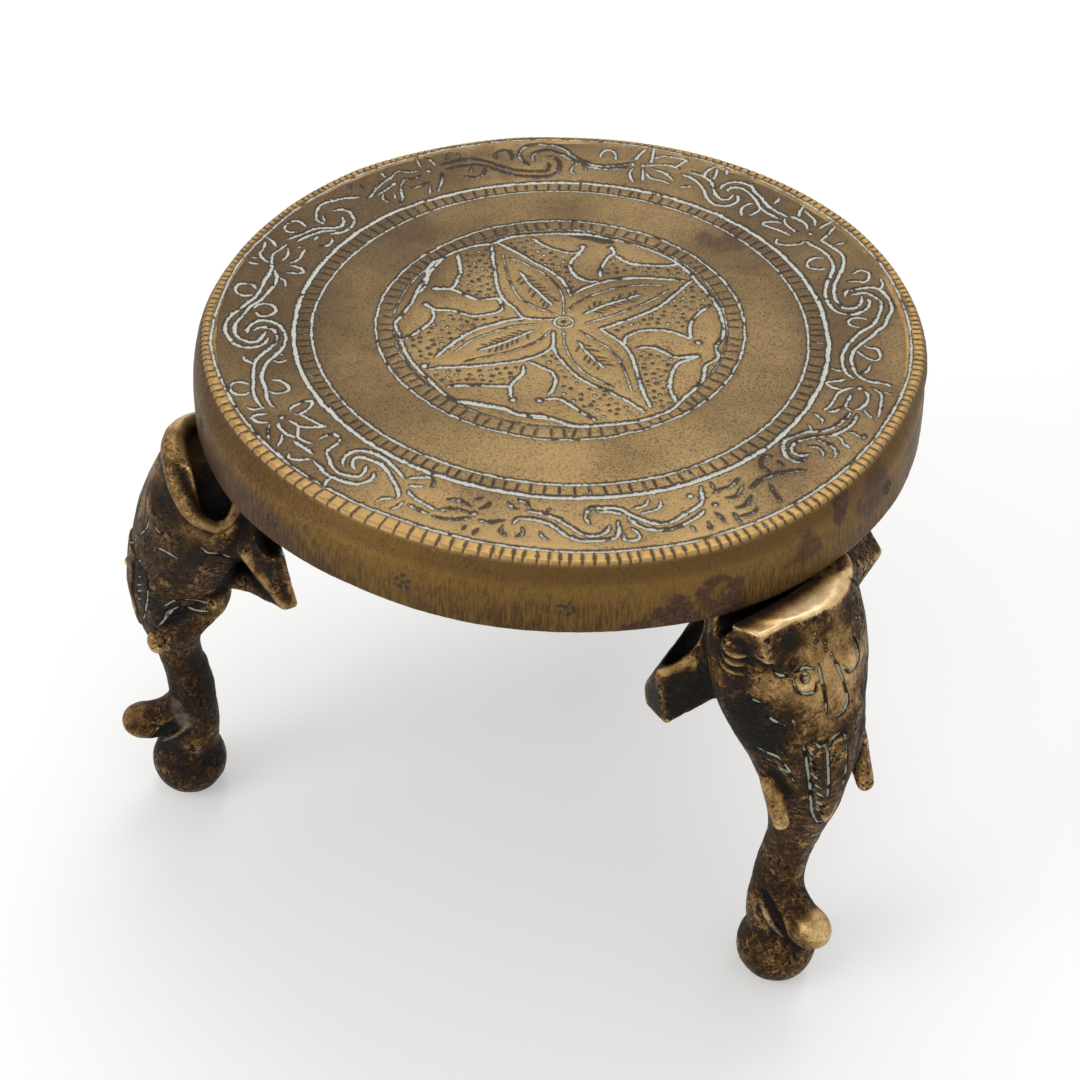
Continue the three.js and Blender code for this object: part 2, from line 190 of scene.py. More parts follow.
# angle and radius pairs, degrees and mm, one stroke up to each semicolon
vineStrokes = """
344.7 92.8, 345.1 90.1, 345 86.8, 345.6 84, 347 82.1, 349.3 80.8, 351.9 80.3, 354.5 81.2, 356.8 83.2,
359.1 86, 360.9 87.9, 362.2 89.8, 364.3 91.2, 366.9 93.3, 369.5 93.9, 371.5 93.5, 373.3 92.4, 374.1 90.9,
374.3 87.9, 373.9 84.6; 345 81.9, 346.4 79.7, 348.7 78.3, 351.6 77.8, 354.2 78.5, 356.8 79.9, 360 82.7,
361.7 85.4, 363.7 87.9, 366.1 89.5, 368.7 91, 370.7 90.6, 372.1 89.2, 372.8 87.3, 372.5 84;
12.4 82.1, 13.6 82.7, 14.1 83.8; 10.8 88, 9.5 87.9, 8.4 87.1, 7.1 85.1, 6.3 83, 6.1 80.8, 6.8 78.6,
7.9 77.2, 9.2 76.5, 11.5 76.4, 13.8 76.7, 15.9 77.8, 17.9 79.4, 19.6 81.3, 21.3 83.2, 23.4 84.7,
25.4 85.4, 27.7 85.4, 30 84.6, 32.3 83.8; 11.8 86.7, 10.4 86, 8.9 84.6, 8.1 82.4, 8.2 80.5, 8.9 79.6,
11 79, 13 79, 15 79.8, 17 81.3, 18.7 83.2, 20.8 85.7, 22.8 87.9, 24.5 89.1, 26.5 89.4, 28.8 88.7,
31.4 87.9; 41 87.6, 45 87.3, 46.7 87.9, 48.7 89.5, 50.8 90.9, 52.8 92.7, 54.5 92.9, 56 92, 56.8 90.1,
57.3 87.9, 57 86; 42 84.9, 45 84.7, 47 85.4, 49.3 87.6, 51.3 89.2, 53.4 90.1, 55 89.2, 55.7 87.3,
55.5 86.2; 52.9 86, 51.9 84, 51.8 81.3, 52.6 78.6, 54.5 77.5, 56.5 78.1, 58.3 80.2, 60 83, 62 85.1,
64 86.5, 66 86.8; 53.8 85.1, 53.6 83, 54.5 81.2, 56 81.7, 57.4 83.5, 58.8 86, 60.3 88.1, 62.3 89.2,
65.2 89.2; 76.7 87.3, 78.7 85.4, 81.3 83.8, 83.6 83.5, 85.4 84.6, 87.1 86.2, 89.1 89.2, 90 91.5,
91.7 93.9, 94 94.7, 96.1 94.7, 97.8 93.6, 98.9 91.2, 99.4 88.1, 98.8 85.1, 97.8 83; 77 84.6, 79.6 82.7,
82.5 81.9, 85.4 83, 88.3 85.7, 90 87.6, 91.4 89.5, 93.2 91.2, 94.9 91.2, 96.3 89.5, 96.9 87.1, 96.5 85.1;
93.7 87.9, 92.3 86.8, 91.4 84, 91.4 80.8, 92.2 78, 94 76.4, 96.6 76.1, 99.5 76.9, 102.1 78.3, 104.4 80.8,
106.2 83.5, 108.5 85.7, 111.3 86.5, 114.8 86.5; 93.7 84, 93.6 81.9, 94.3 79.4, 96.3 79.1, 99.5 79.9,
102.1 81.3, 104.4 84, 106.4 87.1, 108.7 89.2, 111.3 89.8, 115.1 89.5; 125.5 90.3, 127.5 89.5, 130.4 87.6,
132.4 85.7, 134.1 84.9; 125.8 87.3, 128.4 85.7, 131.8 84.6; 135 87.3, 136.7 89.2, 138.5 90.6, 140.8 92,
142.8 91.7, 144.5 90.1, 146.1 87.9, 146.5 85.1; 144.2 87.9, 145.7 85.1; 141.9 87.3, 140.5 86.2, 139.9 84,
140.5 81.3, 141.6 79.1, 143.4 77.5, 145.1 77.2, 147.1 78, 148.6 79.7; 147.1 79.9, 148.6 82.4, 150.6 84,
152.6 85.1, 154.6 86; 142.2 83, 143.4 80.8, 145.1 79.9, 146.5 81, 147.7 83.5, 149.1 85.4, 151.2 86.5,
152.9 87.6, 154.6 88.7; 163.8 86.5, 165.6 86, 168.2 86.2, 170.5 86, 172.5 86.1, 174.5 86.7, 176.2 88.1,
178.3 89.8, 180 91.4, 182 92.7, 184.3 92.8, 186.6 91.7, 188.7 90.1, 190 87.3, 190 84, 189.2 82.1,
187.5 80.8; 165 85.1, 166.7 83.5, 168.7 82.8, 171.1 83.2, 173.4 83.9, 175.4 85.1, 177.4 87.1, 179.7 88.1,
181.7 89.5, 183.7 90.2, 185.8 89.8, 187.5 88.1, 188.5 86, 188.4 84, 187.2 82.7, 185.6 81.6; 185.5 86.7,
184 86.5, 182.5 85.1, 181.6 83, 182 80.2, 183.2 78, 184.9 76.9, 187.2 76.1, 189.5 76.5, 191.5 77.5,
193.3 79.4, 194.7 81.3, 196.4 83, 198.5 84.3, 200.5 85, 203.1 85.1, 205.4 85.8, 207.7 86, 208.8 85.4;
184.8 84.9, 183.9 83, 184.2 80.5, 185.2 79.1, 187.2 78.6, 189.2 79.1, 191 80.8, 192.7 83.2, 194.4 84.9,
196.4 86, 198.7 86.8, 201.1 87.6, 203.4 88.5, 205.7 88.7, 208 88.3; 218.9 87.9, 221.2 87.3, 223.8 87.1;
225 88.4, 227.3 89.2, 229.3 89.8, 231.1 89.6, 233.1 89, 234.8 87.6, 235.8 85.1, 235.7 83, 235.1 81.6;
225 84, 226.7 85.4, 228.7 86.8, 230.8 87.3, 232.5 86.5, 233.7 85.1, 233.7 83, 232.8 80.8; 229.8 84.6,
228.6 83, 228 80.8, 228.2 78.6, 229.3 76.7, 231.6 75.6, 234.5 75.7, 236.5 76.7, 238.6 77.8, 240.6 79.1;
231.9 83.8, 230.6 82.7, 229.8 80.8, 230.2 79.1, 232.2 78.3, 234.5 78.1, 236.5 78.9, 238.8 80.8,
240.9 83.2, 242.2 85.1, 242.4 86.5; 262.8 86.2, 263.7 83.8, 265.4 83.4, 267.4 83.9, 270 86.2, 271.4 88.7,
273.7 90.9, 275.8 91.2, 278.4 91.2, 279.8 90.1, 280.4 87.3, 280.5 84.6; 264.8 80.5, 266.8 80.8, 270 82.7,
271.4 84.6, 272.6 86, 273.7 87.9, 275.2 89.2, 276.9 89.4, 278.4 88.1, 278.8 86; 275.8 85.1, 275.2 83,
275.4 80.7, 276.6 78.8, 278.7 79.1, 280.7 79.4, 282.1 80.8, 283 82.7, 284.4 84.6, 285.9 86.5, 287.6 87.9,
289.6 87.6, 291.9 86.2, 294.5 84.6, 296.1 83.5, 297.1 80.5, 298 77.8; 282.4 83.5, 283.3 86.2, 284.7 88.7,
286.7 90.1, 289 90.3, 291.3 89.4, 293.9 87.9, 295.4 86.5; 277.2 80.5, 279.5 80.8, 281.5 81.9;
305.5 84.5, 309 83.5, 312.5 84.7, 316 88; 318.5 85.1, 317 84.6, 316.7 81.9, 317.3 79.4, 319 77.5,
320.8 76.8, 322.8 77.8, 325.1 79.1, 326.5 81.3, 328 83.2, 330 84.3, 332.3 85.1, 334.6 85.4; 320 84.9,
318.7 83.2, 318.5 81.3, 319.6 79.7, 321.6 79.5, 322.8 80.2, 324.8 82.1, 326 84, 327.7 85.7, 330 87.1,
332.3 87.6, 334.6 87.3; 322.2 90.6, 323.7 89.2, 324.4 86.8, 324.2 83.2; 321.1 88.1, 322.2 86.8,
322.6 85.1, 321.8 83
"""

leafStrokes = """
1.7 83, 2.2 81, 3.2 80, 4.2 80.5, 4.9 82.1, 4.8 84, 4.3 85.4; 13.3 92.8, 14.4 94.2, 16.2 94.6;
16.9 84.6, 16.6 87.3, 16 89.5, 16.7 91.2, 18.2 92.4, 19.2 91.7, 19.6 90.1, 18.9 87.9; 22.2 81.3,
22.6 79.1, 23.9 77.4, 25.4 77.8, 26.3 79.7, 26.4 81.9, 25.7 83.2; 28.4 92.8, 28.8 90.3; 346.9 83.5,
348.2 85.4, 349.9 85.6; 353.8 81.6, 352.2 84, 351.5 86.5, 352.2 87.9, 353.9 87.9, 355.2 86.9, 355.2 85.1,
356 83.5; 346.9 78.9, 346.6 77.2, 346.9 75.6; 46.3 79.7, 46.3 83, 46.7 84.6; 47.7 78, 48.8 79.7,
49.5 81.9, 49.3 84.6, 48.7 85.4; 45.9 90.3, 46.4 93.3; 58.6 93.9, 59.4 96.6; 59.7 89.2, 60.3 92.2,
60.9 95.5; 61.7 89.2, 62.3 91.7, 62 93.9, 61.7 96; 62.3 82.1, 63.7 80.5, 64 79.4; 80 87.3, 80.3 90.6,
81.2 92.8, 82.5 92.8, 83.2 90.6, 83.1 87.9; 85.7 80, 86 82.5, 87.3 84, 88.4 83, 88.9 80, 88 78;
101.1 86.5, 100.8 89.2, 101.1 91.4, 102.4 92.5, 103.8 90.9, 104.1 88.1; 107.3 84, 107.6 81.9, 108.5 79.7,
110.2 79.4, 112.2 80.8; 109.9 84.6, 110.5 82.4; 111.1 91.2, 110.8 93.9; 113.7 91.4, 112.8 93.9,
112.2 95.5; 126.6 93.9, 126.7 91.2; 132.1 92.2, 132.4 90.1; 133.6 94.4, 134.4 92.2; 128.6 81.9,
129.5 79.7; 130.4 84, 131.5 81.9, 131.4 79.1; 149.4 88.1, 148.6 90.6, 149.1 92.8, 150.6 93.3, 152 92.5,
152.5 90.6, 151.7 88.7; 149.7 78, 151.2 76.9, 152.9 77.2, 153.6 78.9; 150.6 81.9, 152.3 81.9;
171.5 87.3, 170.3 89.2, 170.5 92, 171.9 93.2, 173.4 92, 174.1 89.8, 173.7 87.6; 167.2 82.1, 167.9 80.5,
169.6 79.6; 178 86, 176.5 84.9, 176.1 82.7, 176.8 80.5, 178.3 79.6, 179.4 80.2, 180.2 82.2, 180 84,
179.1 85.1; 192.7 88, 193.8 87.9, 194.9 86; 195 80.2, 195.7 79.1, 195.6 77.2; 193.3 78.3, 193.4 77.2;
200.9 88.4, 199.6 90.6, 199.8 92.8, 201.3 94, 202.8 92.8, 203.3 90.9, 202.9 89.5; 200.9 82.4, 201.6 80.5,
203.1 79.4, 204.8 79.4, 205.3 81.3, 204.9 83.5, 203.9 84.3; 206.7 92.2, 207.8 90.9, 208 88.7;
221.2 91.7, 222.1 92.5, 223.3 91.4, 224.6 88.7; 221.1 82.1, 221.1 79.9, 221.8 78, 223 77.8, 224.1 79.4,
224.6 82.4, 225 84.3; 240.1 90.3, 240.6 88.4, 242 87.1; 242.9 90.9, 243.7 89.5, 243.9 87.3; 244.9 87.3,
246.3 88, 248.7 88.5; 242.9 82.7, 244.3 84, 246.3 85, 248.7 86, 249.6 86.5; 242.3 81, 243.7 80.5,
244.9 79.4; 241.2 78.9, 242.9 76.9, 244.9 75.8, 246.1 76.9, 246.5 79.1; 230.3 90, 230.6 92, 231.5 94.2;
261.2 87.1, 261.3 89.2, 262.2 90.9; 263.9 90.6, 264.8 89.2, 264.5 87.1; 267.4 88.1, 268 89.8, 268.8 90.9;
261.1 78, 262.2 79.9, 263.3 80.2; 262.8 76.7, 264.5 77.5, 265.1 79.7; 268.3 80.8, 268.8 79.1;
280.8 90.1, 280.9 91.8, 282.4 92.3, 283.3 91.2, 283 89.2, 282.4 87.9; 283.8 80.8, 286.2 79.9, 287.3 78;
285 82.7, 287.3 82.4, 288.7 81.3, 289.3 79.4; 307.5 92.8, 308.1 89.2, 308.7 86.8; 311.2 83, 311.1 79.9,
312.1 78, 313.6 77.4, 314.7 78.6; 314.4 83, 314.4 80.8; 325.8 91.4, 326.2 89.5, 327.3 87.3, 327.2 86;
329.1 92.8, 329.6 90.1, 329.7 87.9; 328.8 80.8, 330.3 79.9, 331.2 76.9; 326.2 79.7, 327.4 78
"""

flowerStrokes = """
31.3 88.1, 32 91.2, 33.2 94.7, 33.6 95.8; 35 96.6, 34.9 93.9, 34.5 91.4; 35.8 91.2, 36.9 92.8, 38.9 93.6,
40.4 93.9; 39.8 90.3, 40.7 92.2, 41.5 95; 35.6 88.1, 37.2 89.4, 39.2 89.2, 41 88.4; 35.5 84.6, 37.5 84.3,
39.5 84.7, 41 86.5; 35.8 81.6, 38.4 80.8, 40.4 79.7, 42.3 79.2, 42.1 81.3, 41.2 83, 40.1 84; 32.6 83.5,
32.2 81.3, 32.6 79.1, 33.7 76.9, 35 75.8, 36.3 77.5; 68.1 89.2, 67.5 92.8, 67.2 95, 69.8 94.7, 71.8 94.2,
72.7 92.2; 67.2 89.2, 69.5 89.8, 71.8 88.7, 73.6 87.1; 66.9 82.4, 68.1 84, 69.8 85.4, 72.1 86.2;
66.6 80.2, 68.7 80.8, 71.5 81, 73 83; 73 89, 73.4 92.8, 73.8 97.2; 76.4 89.2, 75.9 92.8, 75.3 96.6;
72.8 78.6, 73.4 81.9, 74.1 85.1; 74.4 76.9, 75.6 79.1, 76.3 81.9, 76 84.6; 116.4 90.1, 116.4 92.8,
117.1 95.5; 119.1 91.2, 118.8 94.4, 118.4 97.2; 120.1 89.2, 122 90.1, 123.5 92.2, 125.5 90.6, 128.6 88.7,
130.4 87.3; 120.6 86.8, 122.6 86, 124 87.1, 125.8 84.6, 126.9 81.9, 128.1 78.6, 130.1 76.1; 120.3 82.1,
122.3 81.6, 124.6 81.9; 116.2 85.1, 117.4 81.3, 118.8 78.6, 120 76.4; 120.6 80.2, 121.4 78, 122 76.4;
155.9 94.7, 156.5 92.2, 157.8 89.8; 157.2 93.9, 158.9 92.9, 160.7 92.5, 161.8 91.4, 163 88.4; 156.3 87.6,
158.1 88.1, 160.1 88.9, 161.8 88.1, 163.1 87.1; 157.2 86.5, 158.7 85.1, 160.1 84.7, 161.5 85.1;
155.5 83.5, 156.3 83.8; 156.2 81.7, 158.1 81.2, 159.8 81, 161.7 82.4; 162.5 93.9, 162.3 92.2; 164 93.9,
164.1 90.6; 162.4 81.9, 162.3 79.9, 162.8 77.8, 163.7 77, 164.6 78.6, 164.9 81.3; 209.7 92.8, 209.4 90.6,
210 88.4; 210 92.8, 211.3 92, 212.2 89.8; 213 89.8, 214 91.2, 215.8 92.5; 216.5 89.2, 217.6 90.3,
218.5 92.5; 213.2 87.3, 214.6 88.1, 216.6 87.9, 218.1 86.8; 213.7 84.6, 215.8 83.8, 217.2 84.9,
218.7 86.2, 221.5 84.6; 215.9 83.7, 217.2 81.6, 218.8 77.8; 213.2 81, 215.5 79.7, 218.7 78.3; 211.3 83,
210.1 81, 209.9 76.9, 210.7 75.7, 212 77.5, 212.9 80.8, 212.3 82.1; 249.8 89, 252.1 88.7, 254.1 87.6,
255.6 86; 250.1 86.2, 251.5 84.6, 253.8 84.2, 255.3 84.6; 250.4 81.3, 252.4 80.8, 254.7 81.9; 257.3 92.2,
257.6 89.5; 255.3 91.2, 255.6 89.5; 257 86.2, 259 86.5, 261.3 85.1; 256.6 82.1, 257.6 80.8, 257.9 79.1;
255 79.1, 256.2 78; 291.9 92.8, 291.8 90.9; 294.2 93.9, 294.7 91.2; 297.1 92.5, 297 88.4; 299.1 95,
299.4 90.6; 300 92.2, 301.7 92.8, 303.3 92; 300.6 89.2, 302.3 89.2, 304.3 87.1; 300.6 84.6, 302.3 85.1,
304.6 83; 299.1 81.6, 301.2 81, 303.2 81.3, 305.5 79.7; 299.8 80.2, 300.3 77.5; 334.9 91.4, 335.5 89.8,
336.6 88.1; 335.9 92.5, 337.5 92, 339.8 91.4, 341.8 90.6, 342.7 89.2, 343.3 87.6; 335.8 86, 336.9 87.3,
338.9 87.9, 340.7 87.3, 341.8 86.2; 335.2 85.4, 335.8 83.5, 337.5 83, 339.8 83.2; 332.9 79.9, 334 81.6,
335.8 82.7; 333 78.7, 334.9 79.4, 337.2 79.6, 339.5 79.7, 341 81, 342.1 82.7; 340.7 79.9, 340.7 77.5,
341.7 75.6, 343 77.5, 344 79.9; 342.5 93.1, 342.7 91.2
"""
flowerKnobs = readStrokes("34 87.3, 74.3 86.9, 76.4 86.5, 118.4 87.9, 163.8 86.7, 212.2 85.7, 256 84.3, "
                          "297.8 85.7, 342.3 84.6, 294.9 80, 329.8 92.5")[0]

# how much pale residue is left in the border's strokes, by angle
borderFill = {0: 0.9, 40: 1, 75: 0.95, 95: 0.5, 105: 0.3, 118: 0.6, 140: 0.8, 165: 0.95, 212: 1, 240: 0.95,
              256: 0.35, 268: 0.7, 285: 0.9, 298: 0.55, 310: 0.3, 325: 0.75, 342: 0.9}

# radius of each ring by angle, mm: the engraver's rings aren't true circles
rimLine = {0: 96.8, 20: 97.6, 45: 97.4, 90: 97.8, 130: 97, 155: 95.5, 165: 96.2, 175: 95.7, 188: 96.6,
           200: 95.1, 215: 94.4, 230: 93.6, 245: 93.2, 260: 94.2, 275: 95.3, 290: 96.2, 320: 95.1, 335: 95,
           350: 96.3}
faceEdge = {0: 99.8, 15: 100, 35: 100.6, 60: 100.2, 90: 99.2, 115: 99, 130: 99.6, 150: 98.4, 165: 98.3,
            180: 98.8, 200: 98.3, 225: 97.8, 245: 97.7, 262: 98.4, 278: 99.5, 295: 99.9, 312: 99.3, 330: 97.8,
            342: 98.2, 352: 99.6}
ladderOuter = {0: 73.6, 90: 72.8, 115: 73, 135: 74, 160: 73.8, 200: 74, 225: 73.4, 245: 73.9, 265: 74.5,
               290: 75.3, 310: 75.3, 330: 74.6, 350: 74}
ladderInner = {0: 68.2, 45: 68, 150: 68, 170: 68.6, 180: 69.2, 200: 68.8, 225: 68.6, 250: 68.8, 270: 69.6,
               295: 70.2, 315: 69.7, 340: 68.8}
notchPitch = {0: 1.3, 30: 1.45, 80: 1.5, 130: 1.35, 160: 1.3, 190: 1.3, 200: 2, 224: 2.1, 240: 2.6, 256: 2,
              262: 1.65, 318: 1.65, 350: 1.4}
notchStrength = {0: 1, 30: 0.9, 90: 0.8, 135: 0.95, 200: 1, 222: 0.8, 232: 0.45, 250: 0.4, 262: 0.9, 300: 1,
                 318: 0.9, 325: 0.2, 346: 0.2, 354: 1}
medallionRing = {0: 50.8, 45: 51.6, 90: 52, 135: 51.2, 180: 51.5, 225: 51, 270: 51.5, 315: 51}

# x and y pairs, mm, x to the photo's right and y away from the camera
wavyRing = readStrokes("""
-21 38.5, -15 42.5, -5 44.8, 5 45.2, 12 43.7, 19 41, 26 37.5, 32 32.5, 36 27, 38.5 22, 41.5 16, 44 9,
45 2, 44.5 -4, 42.5 -9, 43 -13.5, 39.5 -17.5, 38.5 -24, 36 -28, 32.5 -33, 30 -37, 26 -40, 20 -43, 10 -45,
5 -45.5, -2 -43, -10 -41.5, -15 -39, -22 -37.5, -28 -36, -31 -33, -36 -26, -40 -20, -43 -13, -44.5 -7,
-46 -2, -44 3, -42 9, -41 14, -39 20, -36 28, -33 33, -27 37, -21 38.5
""")[0]
petalStrokes = """
-20.9 37.7, -20.3 31.4, -19.4 23.9, -18.3 16.4, -16.1 10.5, -13.1 6.7, -10.1 2.2, -1.9 1.9;
-19 39.2, -14.2 35.1, -9 30.2, -4.5 26.5, -.7 22, 1.5 17.2, 2.6 13.4;
2.6 14.6, 6 17.6, 10.5 20.5, 15.7 22.4, 21.7 23.4, 28.4 23.4, 34.7 22.8;
37 23.2, 33.2 17.9, 29.1 11.9, 25.8 8.2, 20.9 4.5, 15.7 1.1, 10.8 -1.9;
10.8 -1.9, 14.9 -6, 17.9 -10.1, 19.8 -15.7, 20.9 -22.4, 22.4 -29.9, 24.3 -36.6;
-2.2 -10.5, -.4 -15.7, 3.7 -22.8, 8.2 -27.3, 13.4 -30.6, 18.7 -34.7, 22.8 -38.8;
-10.1 2.2, -14.2 1.1, -18.7 -1.1, -23.2 -3.7, -26.9 -7.1, -30.6 -11.9, -34 -17.2;
-2.1 -3.7, -2.2 -10.5, -5.2 -14.2, -10.5 -17.5, -17.2 -19.4, -24.6 -20.9, -31.4 -21.7, -35.9 -22.8
"""
petalVeins = """
-17.5 33.2, -16.4 26.1, -14.9 19.4, -11.9 11.9, -7.5 7.8, -2.6 4.9;
-15.7 31.4, -11.2 29.1, -6.7 25.4, -2.6 20.5, -.4 15.3, .4 9.7, .5 3.7;
1.5 6, 3.7 9.7, 8.2 13.8, 13.4 17.2, 18.7 19, 24.6 20, 29.5 19.6;
29.9 17.9, 26.1 13.4, 20.9 9.3, 14.9 5.2, 10.5 2.6, 6.3 .4;
4.9 -3, 9.7 -7.5, 13.4 -11.2, 16.4 -17.2, 17.9 -23.2, 19.4 -30.2;
.5 -2.6, 1.1 -9.7, 3 -16.4, 6.7 -22.4, 11.2 -26.1, 14.6 -28.4;
-7.1 -.4, -13.4 -1.9, -19.4 -5.2, -24.6 -9, -29.1 -14.9;
-3 -3.4, -5.2 -7.1, -8.2 -10.1, -13.4 -13.4, -20.2 -16.4, -26.1 -19
"""
petalMidribs = """
-12.3 25, -9.7 19.4, -6.3 14.2, -2.6 8.6; 6.3 4.9, 10.5 8.6, 15.7 11.6, 21.7 14.9;
4.6 -7.8, 7.5 -13.4, 11.9 -19.8; -7.8 -3.4, -11.9 -6.7, -17.2 -10.5, -22.4 -13.4
"""
lappetStrokes = """
-9.3 42.2, -6 38.8, -1.9 36.4, 1.9 35.1, 4.9 35.8, 5.6 38.5; 4.9 35, 3.4 33.2, 2.1 29.9, 2.4 26.1,
4.5 22.8, 7.5 21.3, 10.1 21.4; 10.8 23.2, 10.7 26.1, 11.6 29.9, 13.1 33.6, 14.6 35.5, 13.8 38.1;
14.9 34.7, 17.2 32.1, 20.2 30.2, 24.6 30, 29.9 30.2, 33.6 31; 17.6 -8.2, 17.9 -5.2, 20.9 -2.6, 25.4 -1.5,
29.9 -2.1, 33.2 -3.7, 35.5 -4.9, 35.5 -.7, 36.6 3.7, 38.8 7.5, 41.8 11.2; 20.9 -10.5, 23.2 -9.7,
25.8 -10.1, 28.4 -11.9, 31.4 -13.8, 37 -13.4; 37 -13.6, 32.9 -16.1, 31 -18.7, 29.9 -23.2, 29.5 -27.6,
31 -33.6; -10.1 -19.8, -10.1 -23.2, -11.9 -26.1, -13.1 -29.1, -12.8 -33.6; -13.1 -29.1, -16.4 -29.1,
-20.9 -29.1, -26.1 -29.5, -29.9 -30.2; -8.6 -17.9, -5.2 -20.2, -2.2 -22.4, -1.1 -26.1, -1.9 -29.9,
-2.8 -32.1; -3.7 -34.4, 0 -34, 3 -36.6, 6 -39.6, 9.7 -42.9; -26.1 -36.2, -20.2 -37.3, -14.2 -38.8,
-11.2 -41.1, -5.2 -41.4, -.7 -43.3, 3.7 -45.6, 9 -45.2; -16.4 6, -17.9 11.2, -20.2 11.2, -24.3 10.8,
-28.4 13.4, -31.7 15.3, -35.9 15.3; -31.4 15.3, -30.2 18.7, -29.3 23.2, -29.9 29.1, -30.6 32.9;
-41.4 12.3, -39.2 15.7, -38.5 20.2, -38.8 23.9, -37.3 28.4, -34.4 31; -16.8 6.7, -18.3 4.5, -21.7 3.4,
-24.6 2.6, -27.6 3.7, -31.4 5.1, -35.1 5.2, -38.1 7.5; -36.2 5.2, -35.5 2.2, -36.2 -.7, -38.1 -3.7,
-41.1 -7.5, -43.3 -9.3
"""
darkGouge = "1.5 44.8, 5.2 43.7, 9.7 42.2, 14 41"
medallionDots = readStrokes("5.6 38.5, 13.8 38.1, 37.7 -7.1, 37 -13.4, -12.3 -35, -5.2 -35.1, -38.1 7.5, "
                            "-36.7 -21.3, -35.9 15.3")[0]
groundOutlines = readStrokes("""
-28 33, -22 36, -20.5 28, -19.5 18, -18.5 13, -21 12.5, -25 12.5, -30 17, -29 24;
-17 40.5, -10.5 41, -5 36, -1 34, 1 30, 1 24, 2.5 20, 2.8 17, 0 22, -4 27.5, -9 32, -14 36.5;
12 24.5, 16 25.5, 23 26, 30 25.5, 36 25, 35 28.5, 28 28.5, 22 28.5, 17 29.5, 14.5 32, 13 30;
38 22, 41 14, 41 12, 38 8, 36 4, 34 0, 31 .5, 25 0, 19 -1, 15 -2.5, 18 1, 24 5, 28 9, 31 13, 35 19;
22 -11.5, 26 -13, 30 -15, 29 -19, 28 -24, 28 -29, 30 -34, 28 -37, 25.5 -36, 24 -29, 22.5 -22, 21.5 -16;
-1.5 -12, -.5 -18, 3 -24, 8 -29, 14 -33, 20 -37.5, 17 -40.5, 12 -42, 8 -39, 4 -35.5, 1 -32, 1 -27, 0 -22,
-3 -18, -6 -16.5, -3 -14;
-12 -20, -12 -23.5, -14 -27.5, -20 -27.5, -26 -27.5, -31 -28.5, -34.5 -25, -30 -23.5, -22 -22.5, -15 -21;
-11 .5, -14.5 -.5, -20 -3, -25 -7, -28 -11, -33 -17, -36.5 -20, -38.5 -18, -41 -12, -42 -9.5, -39 -6,
-37 -2.5, -35 0, -33 3, -28 2, -23 1, -18 2.5
""")


